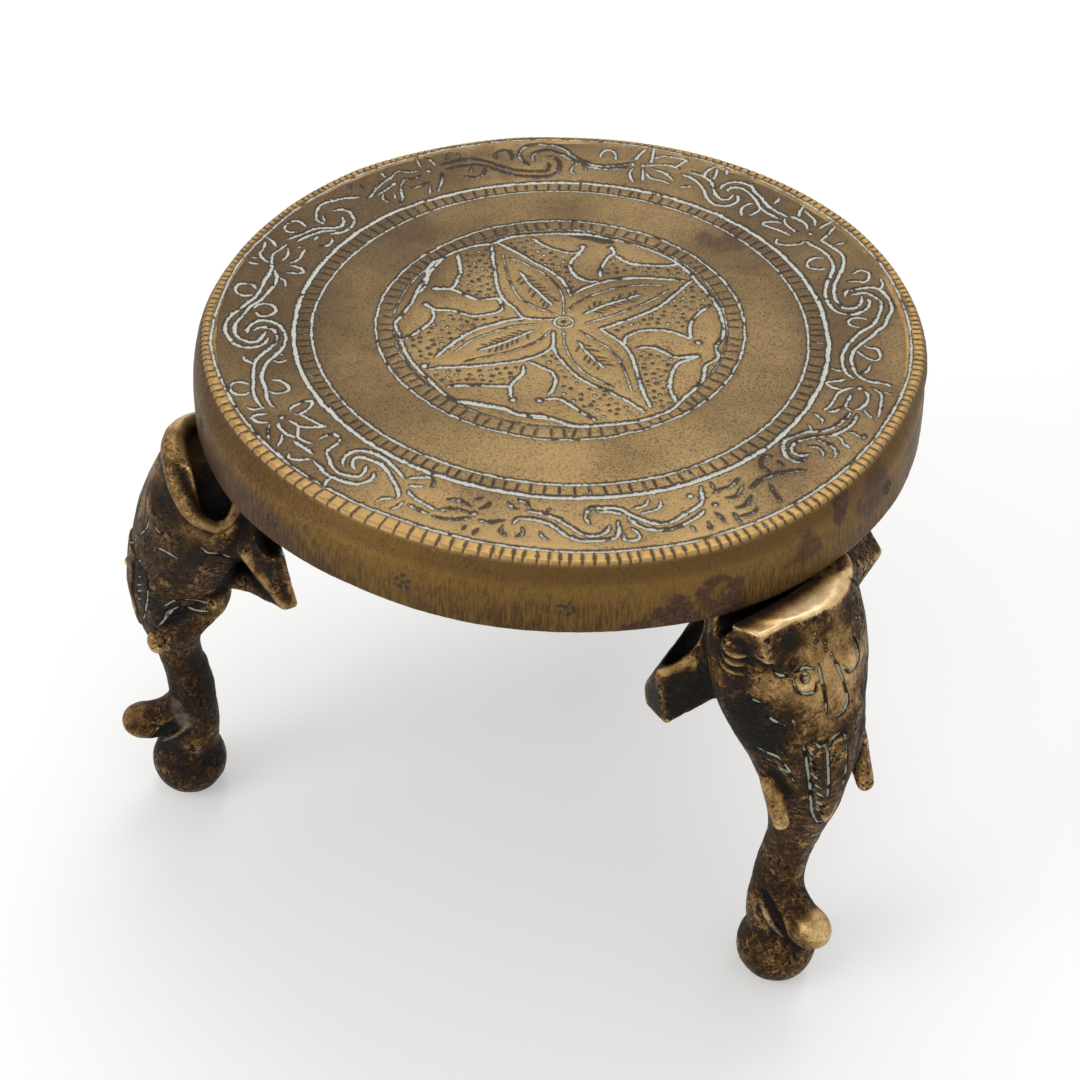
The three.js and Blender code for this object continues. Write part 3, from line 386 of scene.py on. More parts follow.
# The engraver's work as a fine square grid: how far each sample is from the nearest stroke, as a share
# of that stroke's half width, with the stroke's depth and its residue.
class Engraving:
    def __init__(self):
        self.step, self.reach = engravingSet["step"], engravingSet["reach"]
        self.count = int(2 * self.reach / self.step) + 1
        self.line = (np.arange(self.count) * self.step - self.reach).astype(np.float32)
        self.share = np.full((self.count, self.count), 9, np.float32)
        self.depth = np.zeros_like(self.share)
        self.fill = np.zeros_like(self.share)
        self.random = np.random.default_rng(engravingSet["seed"])

    def window(self, lows, highs, margin):
        start = [max(0, int((low - margin + self.reach) / self.step)) for low in lows]
        stop = [min(self.count, int((high + margin + self.reach) / self.step) + 2) for high in highs]
        return slice(start[0], stop[0]), slice(start[1], stop[1])

    def stamp(self, a, b, halfA, halfB, depth, fill):
        margin = 3 * max(halfA, halfB)
        xs, ys = self.window(np.minimum(a, b), np.maximum(a, b), margin)
        x, y = self.line[xs][:, None] - a[0], self.line[ys][None, :] - a[1]
        dx, dy = b - a
        along = np.clip((x * dx + y * dy) / (dx * dx + dy * dy + 1e-9), 0, 1)
        share = np.hypot(x - along * dx, y - along * dy) / (halfA + along * (halfB - halfA))
        closer = share < self.share[xs, ys]
        self.share[xs, ys][closer] = share[closer]
        self.depth[xs, ys][closer] = depth
        self.fill[xs, ys][closer] = fill

    # width varies along the stroke and both ends run out to a point
    def cut(self, points, kind, fill=1.0, strength=1.0, spacing=0.55, wobble=1.0):
        width, depth = kind
        line = smoothLine(points, spacing)
        shake = self.random.normal(0, engravingSet["wobble"] * wobble, line.shape)
        shake[1:-1] = (shake[:-2] + shake[1:-1] + shake[2:]) / 3
        line = line + shake
        if len(line) < 2:
            line = np.vstack([line, line + 0.05])
        ease = np.minimum(np.arange(len(line)), np.arange(len(line))[::-1]) * spacing
        half = width / 2 * (0.55 + 0.45 * smoothStep(0, 1.2, ease))
        half = half * (1 + 0.13 * self.random.normal(0, 1, len(line)))
        half = np.clip(half, width * 0.2, width * 0.8)
        for i in range(len(line) - 1):
            self.stamp(line[i], line[i + 1], half[i], half[i + 1], depth * strength, fill)

    def dot(self, place, radius, depth, fill):
        place = np.asarray(place, float)
        self.stamp(place, place + 0.02, radius, radius, depth, fill)

    # turns the strokes into a height, a residue and a dirt map
    def finish(self):
        x, y = np.meshgrid(self.line, self.line, indexing="ij")
        rough = 0.13 * planeNoise(x, y, 0.55, 21) + 0.09 * planeNoise(x, y, 0.28, 22)
        share = self.share + rough
        bowl = 1 - smoothStep(0.2, 1.05, share)
        near = np.exp(-np.square(self.share / 2.1))
        burr = np.exp(-np.square((share - 1.3) / 0.24)) * (0.6 + 0.8 * planeNoise(x, y, 1.4, 23))
        self.height = (-self.depth * bowl - engravingSet["slope"] * near * (self.depth > 0.2)
                       + engravingSet["burr"] * burr).astype(np.float32)
        patchy = smoothStep(-0.75, 0.05, planeNoise(x, y, 2.6, 24) + 0.5 * planeNoise(x, y, 0.9, 25)
                            + 1.3 * (self.fill - 0.5))
        self.residue = (self.fill * patchy * (1 - smoothStep(0.3, 0.85, share))).astype(np.float32)
        self.dirt = (1 - smoothStep(0.8, 1.5, share)).astype(np.float32)
        self.near = near.astype(np.float32)

    def read(self, grid, x, y):
        fx = np.clip((x + self.reach) / self.step, 0, self.count - 1.001)
        fy = np.clip((y + self.reach) / self.step, 0, self.count - 1.001)
        ix, iy = fx.astype(int), fy.astype(int)
        sx, sy = fx - ix, fy - iy
        low = grid[ix, iy] * (1 - sx) + grid[ix + 1, iy] * sx
        high = grid[ix, iy + 1] * (1 - sx) + grid[ix + 1, iy + 1] * sx
        return low * (1 - sy) + high * sy


def cutRing(work, table, kind, fill, gaps=0.0):
    angles = np.arange(0, 361, 2.0)
    points = polar(angles, roundTable(table, angles) + work.random.normal(0, gaps, len(angles)))
    points[-1] = points[0]
    work.cut(points, kind, fill, wobble=0.7)


def cutBorder(work):
    for strokes, kind in ((vineStrokes, "stem"), (leafStrokes, "leaf"), (flowerStrokes, "leaf")):
        for stroke in readStrokes(strokes):
            fill = float(roundTable(borderFill, stroke[:, 0].mean()))
            work.cut(polar(stroke[:, 0], stroke[:, 1]), engravingSet[kind], fill)
    for angle, radius in flowerKnobs:
        work.dot(polar(angle, radius), 1.0, 0.4, 0.9)
    cutRing(work, rimLine, engravingSet["ring"], 0.85)
    cutRing(work, ladderOuter, engravingSet["wideRing"], 1.0, 0.08)
    cutRing(work, ladderInner, engravingSet["ring"], 0.9)
    angle = 0.0
    while angle < 359:
        strength = float(roundTable(notchStrength, angle)) * work.random.uniform(0.8, 1.1)
        low, high = roundTable(rimLine, angle) + 0.6, roundTable(faceEdge, angle) + 0.2
        lean = work.random.normal(0, 0.12)
        ends = np.array([polar(angle, low), polar(angle + lean, high)])
        work.cut(ends, engravingSet["notch"], 0.25 * strength, strength, wobble=0.4)
        angle += float(roundTable(notchPitch, angle)) * work.random.uniform(0.88, 1.12)
    angle = 0.0
    while angle < 359:
        low, high = roundTable(ladderInner, angle) + 0.4, roundTable(ladderOuter, angle) - 0.7
        ends = np.array([polar(angle, low), polar(angle + work.random.normal(0, 0.2), high)])
        work.cut(ends, engravingSet["rung"], work.random.uniform(0, 0.5), wobble=0.5)
        angle += engravingSet["ladderPitch"] * work.random.uniform(0.85, 1.15)


def cutMedallion(work):
    cutRing(work, medallionRing, engravingSet["ring"], 0.85, 0.1)
    work.cut(wavyRing, engravingSet["stem"], 0.8)
    ringAngle = np.degrees(np.arctan2(wavyRing[:-1, 1], wavyRing[:-1, 0])) % 360
    inner = dict(zip(ringAngle, np.hypot(wavyRing[:-1, 0], wavyRing[:-1, 1])))
    angle = 1.0
    while angle < 359:
        high = roundTable(medallionRing, angle) - 0.4
        low = max(roundTable(inner, angle) + 0.6, high - 4.3)
        ends = np.array([polar(angle, low), polar(angle + work.random.normal(0, 0.6), high)])
        work.cut(ends, engravingSet["rung"], work.random.uniform(0, 0.5), wobble=0.5)
        angle += engravingSet["medallionPitch"] * work.random.uniform(0.85, 1.15)
    turns = np.arange(0, 361, 2.0)
    close = roundTable(medallionRing, turns) - 4.9
    clear = close - np.array([roundTable(inner, turn) for turn in turns]) > 0.9
    for run in np.split(np.arange(len(turns)), np.flatnonzero(np.diff(clear)) + 1):
        if clear[run[0]] and len(run) > 2:
            work.cut(polar(turns[run], close[run]), engravingSet["fine"], 0.6)
    for stroke in readStrokes(petalStrokes) + readStrokes(lappetStrokes):
        work.cut(stroke, engravingSet["stem"], 0.85)
    for stroke in readStrokes(petalVeins):
        work.cut(stroke, engravingSet["fine"], 0.7, 1.1)
    for stroke in readStrokes(petalMidribs):
        work.cut(stroke, engravingSet["leaf"], 0.9)
        line = smoothLine(stroke, 1.6)
        for i in range(1, len(line) - 1):
            way = line[i + 1] - line[i - 1]
            way = way / np.linalg.norm(way)
            for side in (-1, 1):
                if work.random.uniform() < 0.85:
                    out = np.array([-way[1], way[0]]) * side + way * 0.9
                    start = line[i] + out * 0.8
                    length = work.random.uniform(1.4, 2.8)
                    work.cut([start, start + out * length / 1.35], engravingSet["fine"], 0.15, 0.9)
    work.cut(readStrokes(darkGouge)[0], engravingSet["gouge"], 0.15)
    for place in medallionDots:
        work.dot(place, 1.25, 0.45, 0.9)
    ring = polar(np.arange(0, 361, 20.0), 2.6) + engravingSet["middle"]
    work.cut(ring, engravingSet["middleRing"], 0.95, wobble=0.3)
    work.dot(engravingSet["middle"], 0.8, 0.4, 0.2)
    for outline in groundOutlines:
        low, high = outline.min(0), outline.max(0)
        kept = []
        for place in work.random.uniform(low, high, (900, 2)):
            if not insideOutline(place[0], place[1], outline):
                continue
            if all(np.hypot(*(place - other)) > engravingSet["dotGap"] for other in kept):
                kept.append(place)
                work.dot(place, work.random.uniform(0.5, 0.72), 0.3, work.random.uniform(0.1, 1.0))


# where the legs stand and their main sizes
legAngles = {"rear": 90.0, "left": 214.25, "right": -34.25}
legSet = {
    "cell": 0.45,  # mm, grain of the clay that the solid grows in
    "low": (66.0, -41.0, -0.6),
    "high": (135.0, 46.0, 153.5),
    "footReach": 115.7,
    "ballHeight": 10.2,
    "ballRadius": 11.4,
    "crown": 137.1,
    "headLength": 82.0,
    "headDepth": 42.0,
    "headWidth": 50.0,
    "flangeTop": 151.1,
    "flangeUnderside": 146.9,
    "flangeReach": 80.4,
    "flangeStraight": (4.5, 19.0),  # half its straight sides, outward and sideways
    "flangeCorner": 6.0,
    "screwHole": 2.35,
    "screwSpacing": 37.0,
    "rightLean": 3.3,  # mm that the right leg's head stands sideways of its ball
}

# top
topSet = {
    "faceStep": 0.33,  # mm between the rings of the engraved face
    "plainStep": 0.8,
    "segments": 1792,
    "coarseRings": [(3.2, 32), (6.5, 16), (13, 8), (26, 4)],  # inside a radius, one point in so many
    "medallionReach": 53.0,
    "plainReach": 66.0,
    "nominalEdge": 98.8,
    "hemRadius": 103.4,
    "skirtRadius": 103.0,  # on which marks on the skirt are measured sideways
    "skirtDepth": 21.4,
    "skirtWall": 3.8,
    "plateThickness": 4.6,
    "swell": 0.14,  # mm, the plate's slow unevenness
    "faceDrop": 0.12,  # mm that the face lies below its nominal height
    "skirtSwell": 0.3,
    "punchRadius": 1.75,  # of the ring of dents round a rosette's middle
    "punchDepth": 0.36,
}
# outside of the skirt: depth below the face, and how far it stands out from the face's edge, mm
skirtProfile = [(0, -0.6), (0.12, -0.05), (0.4, 0.3), (0.9, 0.65), (2, 1.3), (3.6, 2.1), (7, 3.4), (11, 4.15),
                (16, 4.45), (20.3, 4.6), (21.0, 4.35), (21.4, 3.6)]
# departures of the hem from a true circle and from a level edge, by the photo's angle
hemTrim = {0: -1.2, 20: -0.7, 60: 0, 130: -0.2, 160: -0.5, 190: -0.7, 215: 0, 300: 0, 330: -1.2, 345: -1.5}
hemRise = {0: 0, 190: 0.2, 215: 1.6, 240: 2.2, 262: 1.0, 290: 0.2}
# punched rosettes round the skirt: the photo's angle, and mm below the face
rosettes = [(-158.6, 11), (-134.7, 12), (-111.4, 11.5), (-88.2, 12.5), (-32, 11), (-9, 12),
            (14, 11.5), (37, 12), (60, 12.5), (83, 11.5), (106, 12), (129, 11.5), (152, 12), (175, 11.5)]


# how many points a ring of the face has
def pointsAt(radius):
    for reach, part in [*topSet["coarseRings"], (topSet["plainReach"], 2)]:
        if radius < reach:
            return topSet["segments"] // part
    return topSet["segments"]


# how far points on the skirt are from a mark there, mm, and in which direction
def fromMark(angle, depth, place, below):
    across = ((angle - place + 180) % 360 - 180) * math.pi / 180 * topSet["skirtRadius"]
    return np.hypot(across, depth - below), np.arctan2(depth - below, across)


def makeRings(work):
    rings = []  # each ring's points in the photo's frame, n by 3
    full = topSet["segments"]
    radii, counts = [], []
    radius = 0.7
    while radius < topSet["nominalEdge"] - 0.6:
        counts.append(pointsAt(radius))
        radii.append(radius)
        plain = topSet["medallionReach"] < radius < topSet["plainReach"]
        radius += topSet["plainStep"] if plain else topSet["faceStep"]
    for radius, count in zip(radii, counts):
        angle = np.arange(count) * 360 / count
        shift = (roundTable(faceEdge, angle) - topSet["nominalEdge"]) * smoothStep(84, 98.2, radius)
        place = polar(angle, radius + shift)
        height = work.read(work.height, place[:, 0], place[:, 1])
        swell = topSet["swell"] * (planeNoise(place[:, 0], place[:, 1], 17, 31)
                                   + 0.35 * planeNoise(place[:, 0], place[:, 1], 6, 32))
        rings.append(np.column_stack([place, swell - topSet["faceDrop"] + height]))
    angle = np.arange(full) * 360 / full
    edge = roundTable(faceEdge, angle) - topSet["nominalEdge"]
    trim, rise = roundTable(hemTrim, angle), roundTable(hemRise, angle)
    depths, stands = zip(*skirtProfile)
    marks = np.concatenate([[0.1, 0.3, 0.55, 0.85], np.arange(1.2, topSet["skirtDepth"] - 0.9, 0.42),
                            [20.6, 20.95, 21.2, 21.35, 21.4]])
    topSet["faceRings"], topSet["skirtRings"] = len(rings), len(marks)
    for depth in marks:
        stand = np.interp(depth, depths, stands)
        radius = (topSet["nominalEdge"] + stand + edge * (1 - smoothStep(1, 8, depth))
                  + trim * smoothStep(2, 9, depth))
        arc = np.radians(angle) * topSet["skirtRadius"]
        inner = polar(angle, np.minimum(roundTable(faceEdge, angle) - 0.4, 101))
        notch = work.read(work.height, inner[:, 0], inner[:, 1]) * (1 - smoothStep(0.8, 1.9, depth))
        file = planeNoise(arc / 0.75, np.full(full, depth / 16), 1, 41) * 0.035
        file += planeNoise(arc / 1.9, np.full(full, depth / 9), 1, 42) * 0.045
        wave = topSet["skirtSwell"] * planeNoise(arc, np.full(full, depth), 23, 43) * smoothStep(2, 8, depth)
        down = depth - rise * smoothStep(4, topSet["skirtDepth"], depth)
        punch = np.zeros(full)
        for place, below in rosettes:
            away, turn = fromMark(angle, down, place, below)
            ring = np.exp(-np.square((away - topSet["punchRadius"]) / 0.5)) * (0.6 + 0.4 * np.cos(turn * 7))
            punch -= topSet["punchDepth"] * (ring + np.exp(-np.square(away / 0.5)))
        swell = topSet["swell"] * planeNoise(inner[:, 0], inner[:, 1], 17, 31) * (1 - smoothStep(0, 3, depth))
        place = polar(angle, radius + notch + (file + wave + punch) * smoothStep(0.4, 2, depth))
        rings.append(np.column_stack([place, swell - down - topSet["faceDrop"]]))
    inside = topSet["hemRadius"] - topSet["skirtWall"]
    under = topSet["plateThickness"]
    profile = [(inside + 2.2, topSet["skirtDepth"]), (inside + 0.8, topSet["skirtDepth"]),
               (inside + 0.1, topSet["skirtDepth"] - 0.5)]
    profile += [(inside, d) for d in np.arange(topSet["skirtDepth"] - 1.6, under + 3.2, -1.4)]
    profile += [(inside - 0.3, under + 1.8), (inside - 1.1, under + 0.7), (inside - 2.4, under + 0.15)]
    profile += [(r, under) for r in np.arange(inside - 4.5, 3, -2.6)]
    for i, (radius, depth) in enumerate(profile):
        count = full // (i + 1 if i < 2 else 4 if radius > 60 else 8 if radius > 20 else 16)
        angle = np.arange(count) * 360 / count
        place = polar(angle, radius)
        lump = 0.25 * planeNoise(place[:, 0], place[:, 1], 9, 44) * smoothStep(0, 4, i)
        down = depth - roundTable(hemRise, angle) * smoothStep(8, topSet["skirtDepth"], depth)
        rings.append(np.column_stack([place, -down + lump]))
    return rings


# Joins rings of points into faces. A ring may have half or twice as many points as the one before.
def ringFaces(counts, starts):
    quads, tris = [], []
    for (n, m), (a, b) in zip(zip(counts, counts[1:]), zip(starts, starts[1:])):
        if n == m:
            j = np.arange(n)
            k = (j + 1) % n
            quads.append(np.stack([a + j, b + j, b + k, a + k], 1))
        elif m == 2 * n:
            j = np.arange(n)
            k = (j + 1) % n
            tris.append(np.stack([a + j, b + 2 * j, b + 2 * j + 1], 1))
            tris.append(np.stack([a + j, b + 2 * j + 1, a + k], 1))
            tris.append(np.stack([a + k, b + 2 * j + 1, b + 2 * k], 1))
        elif n == 2 * m:
            j = np.arange(m)
            k = (j + 1) % m
            tris.append(np.stack([a + 2 * j, b + j, a + 2 * j + 1], 1))
            tris.append(np.stack([a + 2 * j + 1, b + j, b + k], 1))
            tris.append(np.stack([a + 2 * j + 1, b + k, a + 2 * k], 1))
        else:
            raise ValueError("rings of %d and %d points can't be joined" % (n, m))
    return quads, tris


def meshFrom(name, points, quads, tris):
    mesh = bpy.data.meshes.new(name)
    mesh.vertices.add(len(points))
    mesh.vertices.foreach_set("co", (points * mm).astype(np.float32).ravel())
    loops = np.concatenate([quads.ravel(), tris.ravel()]).astype(np.int32)
    mesh.loops.add(len(loops))
    mesh.loops.foreach_set("vertex_index", loops)
    starts = np.concatenate([np.arange(len(quads)) * 4, len(quads) * 4 + np.arange(len(tris)) * 3])
    mesh.polygons.add(len(starts))
    mesh.polygons.foreach_set("loop_start", starts.astype(np.int32))
    mesh.update(calc_edges=True)
    mesh.validate()
    mesh.shade_smooth()
    thing = bpy.data.objects.new(name, mesh)
    bpy.context.scene.collection.objects.link(thing)
    return thing


def paintPoints(thing, name, values):
    layer = thing.data.attributes.new(name, "FLOAT", "POINT")
    layer.data.foreach_set("value", np.asarray(values, np.float32))


# turns points read in the photo's frame into the row frame
def fromPhotoFrame(points):
    turn = math.radians(patternTurn)
    x = points[:, 0] * math.cos(turn) - points[:, 1] * math.sin(turn) + axisX
    y = points[:, 0] * math.sin(turn) + points[:, 1] * math.cos(turn) + axisY
    return np.column_stack([x, y, points[:, 2] + tableHeight])


# radius and depth below the face of each ring of a boss under the top, mm
bossRows = [(6.5, 4.3), (6.2, 5.2), (6.2, 8.5), (5.8, 8.9), (2.6, 8.9), (2.35, 8.6), (2.35, 4.3)]
bossSides = 32


# The six bosses that the leg screws enter, each as its points and its faces, numbered from "first" on.
def screwBosses(first):
    sides, made = bossSides, []
    turn = np.arange(sides) * 360 / sides
    for angle in legAngles.values():
        for aside in (-legSet["screwSpacing"] / 2, legSet["screwSpacing"] / 2):
            way, across = polar(angle - patternTurn, 1.0), polar(angle - patternTurn + 90, 1.0)
            middle = way * legSet["flangeReach"] + across * aside
            rows = [np.column_stack([middle + polar(turn, radius), np.full(sides, -depth)])
                    for radius, depth in bossRows]
            starts = first + sides * np.arange(len(rows))
            faces, _ = ringFaces([sides] * (len(rows) + 1), [*starts, starts[0]])
            made.append((np.vstack(rows), np.vstack(faces)))
            first += sides * len(rows)
    return made


# Where the parts lie on the baking map, and how large, as shares of its side. A disc is given by its
# middle and the share that a millimetre takes.
mapSet = {
    "face": (0.375, 0.625, 0.0037),
    "under": (0.875, 0.875, 0.00095),
    "skirt": (0.01, 0.008),  # the first strip's corner
    "strip": (0.72, 0.075, 0.083),  # width, height, and the step from strip to strip
    "boss": (0.78, 0.05),
    "bossStep": (0.0055, 0.008, 0.1),  # from point to point, row to row and boss to boss
}


# A map for baking: the face as a disc, the skirt in three strips, the underside as a small disc, and
# each boss as a narrow strip.
def mapTop(top, points, ringOf, ringCount):
    mesh = top.data
    corner = np.zeros(len(mesh.loops), np.int32)
    mesh.loops.foreach_get("vertex_index", corner)
    sizes, starts = np.zeros(len(mesh.polygons), np.int32), np.zeros(len(mesh.polygons), np.int32)
    mesh.polygons.foreach_get("loop_total", sizes)
    mesh.polygons.foreach_get("loop_start", starts)
    owner = np.repeat(np.arange(len(sizes)), sizes)
    outermost = np.maximum.reduceat(ringOf[corner], starts)[owner]
    x, y, depth = points[corner, 0], points[corner, 1], -points[corner, 2]
    angle = np.degrees(np.arctan2(y, x)) % 360
    first = angle[starts][owner]
    along = first + (angle - first + 180) % 360 - 180
    strip = np.floor(first / 120)
    across, up, share = mapSet["face"]
    u, v = across + share * x, up + share * y
    skirt = outermost >= topSet["faceRings"]
    (across, up), (wide, high, step) = mapSet["skirt"], mapSet["strip"]
    u[skirt] = (across + wide * (along / 120 - strip))[skirt]
    v[skirt] = (up + step * strip + high * depth / topSet["skirtDepth"])[skirt]
    under = outermost >= topSet["faceRings"] + topSet["skirtRings"]
    path = np.hypot(x, y) + np.maximum(depth - topSet["plateThickness"], 0)
    across, up, share = mapSet["under"]
    u[under] = (across + share * path * np.cos(np.radians(angle)))[under]
    v[under] = (up + share * path * np.sin(np.radians(angle)))[under]
    boss = np.flatnonzero(outermost > ringCount)
    place = corner[boss] - np.flatnonzero(ringOf > ringCount)[0]
    number, place = np.divmod(place, bossSides * len(bossRows))
    row, turn = np.divmod(place, bossSides)
    face = np.arange(len(boss)) // 4 * 4
    ahead, behind = turn[face] - turn > bossSides // 2, turn - turn[face] > bossSides // 2
    turn = turn + bossSides * ahead - bossSides * behind
    row = row + len(bossRows) * ((row[face] - row) > 3) - len(bossRows) * ((row - row[face]) > 3)
    (across, up), (pointStep, rowStep, bossStep) = mapSet["boss"], mapSet["bossStep"]
    u[boss] = across + pointStep * turn
    v[boss] = up + bossStep * number + rowStep * row
    layer = mesh.uv_layers.new(name="OFBake")
    layer.uv.foreach_set("vector", np.column_stack([u, v]).astype(np.float32).ravel())


# stains on the face: x, y and radius, mm in the photo's frame, and strength
faceStains = [(45, 43, 9, 0.65), (56, 30, 10, 0.35), (-43, 44, 12, 0.4), (-50, -22, 16, 0.3),
              (-84, 20, 16, 0.35), (-20, 84, 18, 0.45), (-5, 90, 14, 0.3), (-30, -5, 12, 0.3),
              (62, -62, 16, 0.35), (80, -36, 14, 0.4), (88, 10, 12, 0.25), (-26, -32, 10, 0.25),
              (60, 66, 16, 0.3)]
# and on the skirt: the photo's angle, mm below the face, radius and strength, and the middle left clear
skirtStains = [(-73, 17, 6, 1.1), (-66.5, 13, 2.8, 0.75, 4.2), (-64.5, 19.5, 6, 1.1), (-78, 19.5, 4.5, 0.9),
               (-52, 10, 7, 0.7), (-44, 5, 6, 0.9), (-36, 8, 10, 0.7), (-171, 10, 9, 0.7), (-160, 12, 6, 0.5),
               (-20, 12, 12, 0.5), (-110, 17, 8, 0.3), (100, 12, 14, 0.6), (50, 10, 12, 0.5),
               (150, 9, 12, 0.4)]


def makeTop():
    work = Engraving()
    cutBorder(work)
    cutMedallion(work)
    work.finish()
    print("engraving cut")
    rings = makeRings(work)
    counts = [len(ring) for ring in rings]
    starts = np.concatenate([[0], np.cumsum(counts)[:-1]])
    points = np.vstack(rings)
    quads, tris = ringFaces(counts, list(starts))
    first, last = len(points), len(points) + 1
    height = work.read(work.height, np.array([0.0]), np.array([0.0]))[0] - topSet["faceDrop"]
    points = np.vstack([points, [[0, 0, height], [0, 0, -topSet["plateThickness"]]]])
    j = np.arange(counts[0])
    tris.append(np.stack([np.full(counts[0], first), j, (j + 1) % counts[0]], 1))
    j = np.arange(counts[-1])
    tris.append(np.stack([np.full(counts[-1], last), starts[-1] + (j + 1) % counts[-1], starts[-1] + j], 1))
    ringOf = np.concatenate([np.repeat(np.arange(len(rings)), counts), [0, len(rings)]])
    for ring, faces in screwBosses(len(points)):
        points, quads = np.vstack([points, ring]), quads + [faces]
    ringOf = np.concatenate([ringOf, np.full(len(points) - len(ringOf), len(rings) + 1)])
    top = meshFrom("engraved_top", fromPhotoFrame(points), np.vstack(quads), np.vstack(tris))
    mapTop(top, points, ringOf, len(rings))
    radius = np.hypot(points[:, 0], points[:, 1])
    angle = np.degrees(np.arctan2(points[:, 1], points[:, 0]))
    depth = -points[:, 2]
    face = 1 - smoothStep(0.6, 1.7, depth)
    x, y = points[:, 0], points[:, 1]
    stain = np.zeros(len(points))
    for sx, sy, size, strength in faceStains:
        away = np.hypot(x - sx, y - sy) + 4 * planeNoise(x, y, 5, 51) + 1.6 * planeNoise(x, y, 1.4, 55)
        stain = np.maximum(stain, strength * (1 - smoothStep(0.35 * size, size, away)) * face)
    arc = np.radians(angle) * topSet["skirtRadius"]
    for place, below, size, strength, *clear in skirtStains:
        away, _ = fromMark(angle, depth, place, below)
        away = np.abs(away - clear[0]) if clear else away + 3 * planeNoise(arc, depth, 4, 52)
        away = away + 1.4 * planeNoise(arc, depth, 1.3, 54)
        stain = np.maximum(stain, strength * (1 - smoothStep(0.35 * size, size, away)) * (1 - face))
    paintPoints(top, "residue", work.read(work.residue, x, y) * (depth < 1.2))
    edge, rim = roundTable(faceEdge, angle % 360), roundTable(rimLine, angle % 360)
    beside = polar(angle, edge - 0.4)
    outer = radius > edge - 0.4
    dirt = work.read(work.dirt, np.where(outer, beside[:, 0], x), np.where(outer, beside[:, 1], y))
    dirt *= 1 - smoothStep(0.7, 1.6, depth)
    for place, below in rosettes:
        away, turn = fromMark(angle, depth, place, below)
        marks = np.exp(-np.square((away - 1.8) / 0.8)) * (0.75 + 0.45 * np.cos(turn * 5 + place))
        marks += np.exp(-np.square(away / 0.8)) + 0.5 * planeNoise(arc, depth, 0.9, 56) * (away < 3.2)
        dirt = np.maximum(dirt, np.clip(marks, 0, 1) * (1 - face))
    paintPoints(top, "dirt", dirt)
    paintPoints(top, "low", smoothStep(3, 20, depth))
    paintPoints(top, "near", work.read(work.near, x, y) * face)
    paintPoints(top, "skirt", 1 - face)
    paintPoints(top, "stain", stain)
    # painted sheen and shade mixed with tarnish: the face lighter at the front and in the medallion, darker
    # towards the back and the sides, most to the left; the skirt darker to the left
    shadeAndTarnish = np.interp(y, [-85, -55, 10, 110], [-0.35, 0.05, 0.45, 0.2]) + 0.3 * smoothStep(20, 70, x)
    shadeAndTarnish += smoothStep(-15, -80, x) * 0.55 + 0.45 * planeNoise(x, y, 19, 53)
    shadeAndTarnish -= 0.4 * (1 - smoothStep(38, 52, radius))
    paintPoints(top, "tarnish", shadeAndTarnish * face + (1 - face) * smoothStep(-40, -90, x))
    # rubbed brass and a painted highlight: the beads of the milled edge, and a band just below the face's
    # edge
    beads = smoothStep(0.9, 1.4, radius - rim) * (1 - smoothStep(0.4, 0.9, depth))
    paintPoints(top, "rub", np.maximum(beads, np.exp(-np.square((depth - 0.5) / 0.5)) * (radius > 95)))
    print("top made,", len(points), "points")
    return top


# materials
# one output socket, so that shader maths reads as plain expressions
class Wire:
    def __init__(self, finish, socket):
        self.finish, self.socket = finish, socket

    def math(self, operation, first, second):
        return self.finish.node("ShaderNodeMath", {"operation": operation}, {0: first, 1: second})

    def __add__(self, other):
        return self.math("ADD", self, other)

    def __sub__(self, other):
        return self.math("SUBTRACT", self, other)

    def __rsub__(self, other):
        return self.math("SUBTRACT", other, self)

    def __mul__(self, other):
        return self.math("MULTIPLY", self, other)

    __radd__ = __add__
    __rmul__ = __mul__


class Finish:
    def __init__(self, name, holder=None):
        self.material = holder or bpy.data.materials.new(name)
        self.material.use_nodes = True
        self.tree = self.material.node_tree
        self.tree.nodes.clear()

    def node(self, kind, settings=None, sockets=None, output=0):
        made = self.tree.nodes.new(kind)
        for key, value in (settings or {}).items():
            if key == "stops":
                stops = made.color_ramp.elements
                while len(stops) < len(value):
                    stops.new(1.0)
                for stop, (place, colour) in zip(stops, value):
                    stop.position, stop.color = place, colour
            else:
                setattr(made, key, value)
        for key, value in (sockets or {}).items():
            if isinstance(value, Wire):
                self.tree.links.new(value.socket, made.inputs[key])
            else:
                made.inputs[key].default_value = value
        return Wire(self, made.outputs[output] if made.outputs else None)

    def paint(self, name):
        return self.node("ShaderNodeAttribute", {"attribute_name": name}, output=2)

    def ramp(self, value, low, high):
        return self.node("ShaderNodeMapRange", {"interpolation_type": "SMOOTHSTEP"},
                         {0: value, 1: low, 2: high})

    def blend(self, share, first, second):
        return self.node("ShaderNodeMix", {"data_type": "RGBA"}, {0: share, 6: first, 7: second}, 2)

    # the place on the piece, counted in steps of "size" mm
    def place(self, size, stretch, shift):
        spot = self.node("ShaderNodeTexCoord", output=3)
        return self.node("ShaderNodeMapping", None,
                         {0: spot, 1: (shift,) * 3, 3: tuple(s / (size * mm) for s in stretch)})

    # lumps of about "size" mm
    def noise(self, size, detail, stretch=(1, 1, 1), shift=0.0):
        place = self.place(size, stretch, shift)
        return self.node("ShaderNodeTexNoise", None, {0: place, 2: 1.0, 3: detail, 4: 0.55})

    def pits(self, size):
        return self.node("ShaderNodeTexVoronoi", None, {0: self.place(size, (1, 1, 1), 0.0), 2: 1.0})

    def metal(self, colour, metallic, roughness, height, bump, gloss=0.5):
        normal = self.node("ShaderNodeBump", None, {"Strength": bump, "Distance": 0.1 * mm, "Height": height})
        shader = self.node("ShaderNodeBsdfPrincipled", None,
                           {"Base Color": colour, "Metallic": metallic, "Roughness": roughness,
                            "Specular IOR Level": gloss, "Normal": normal})
        self.node("ShaderNodeOutputMaterial", None, {0: shader})
        return self.material


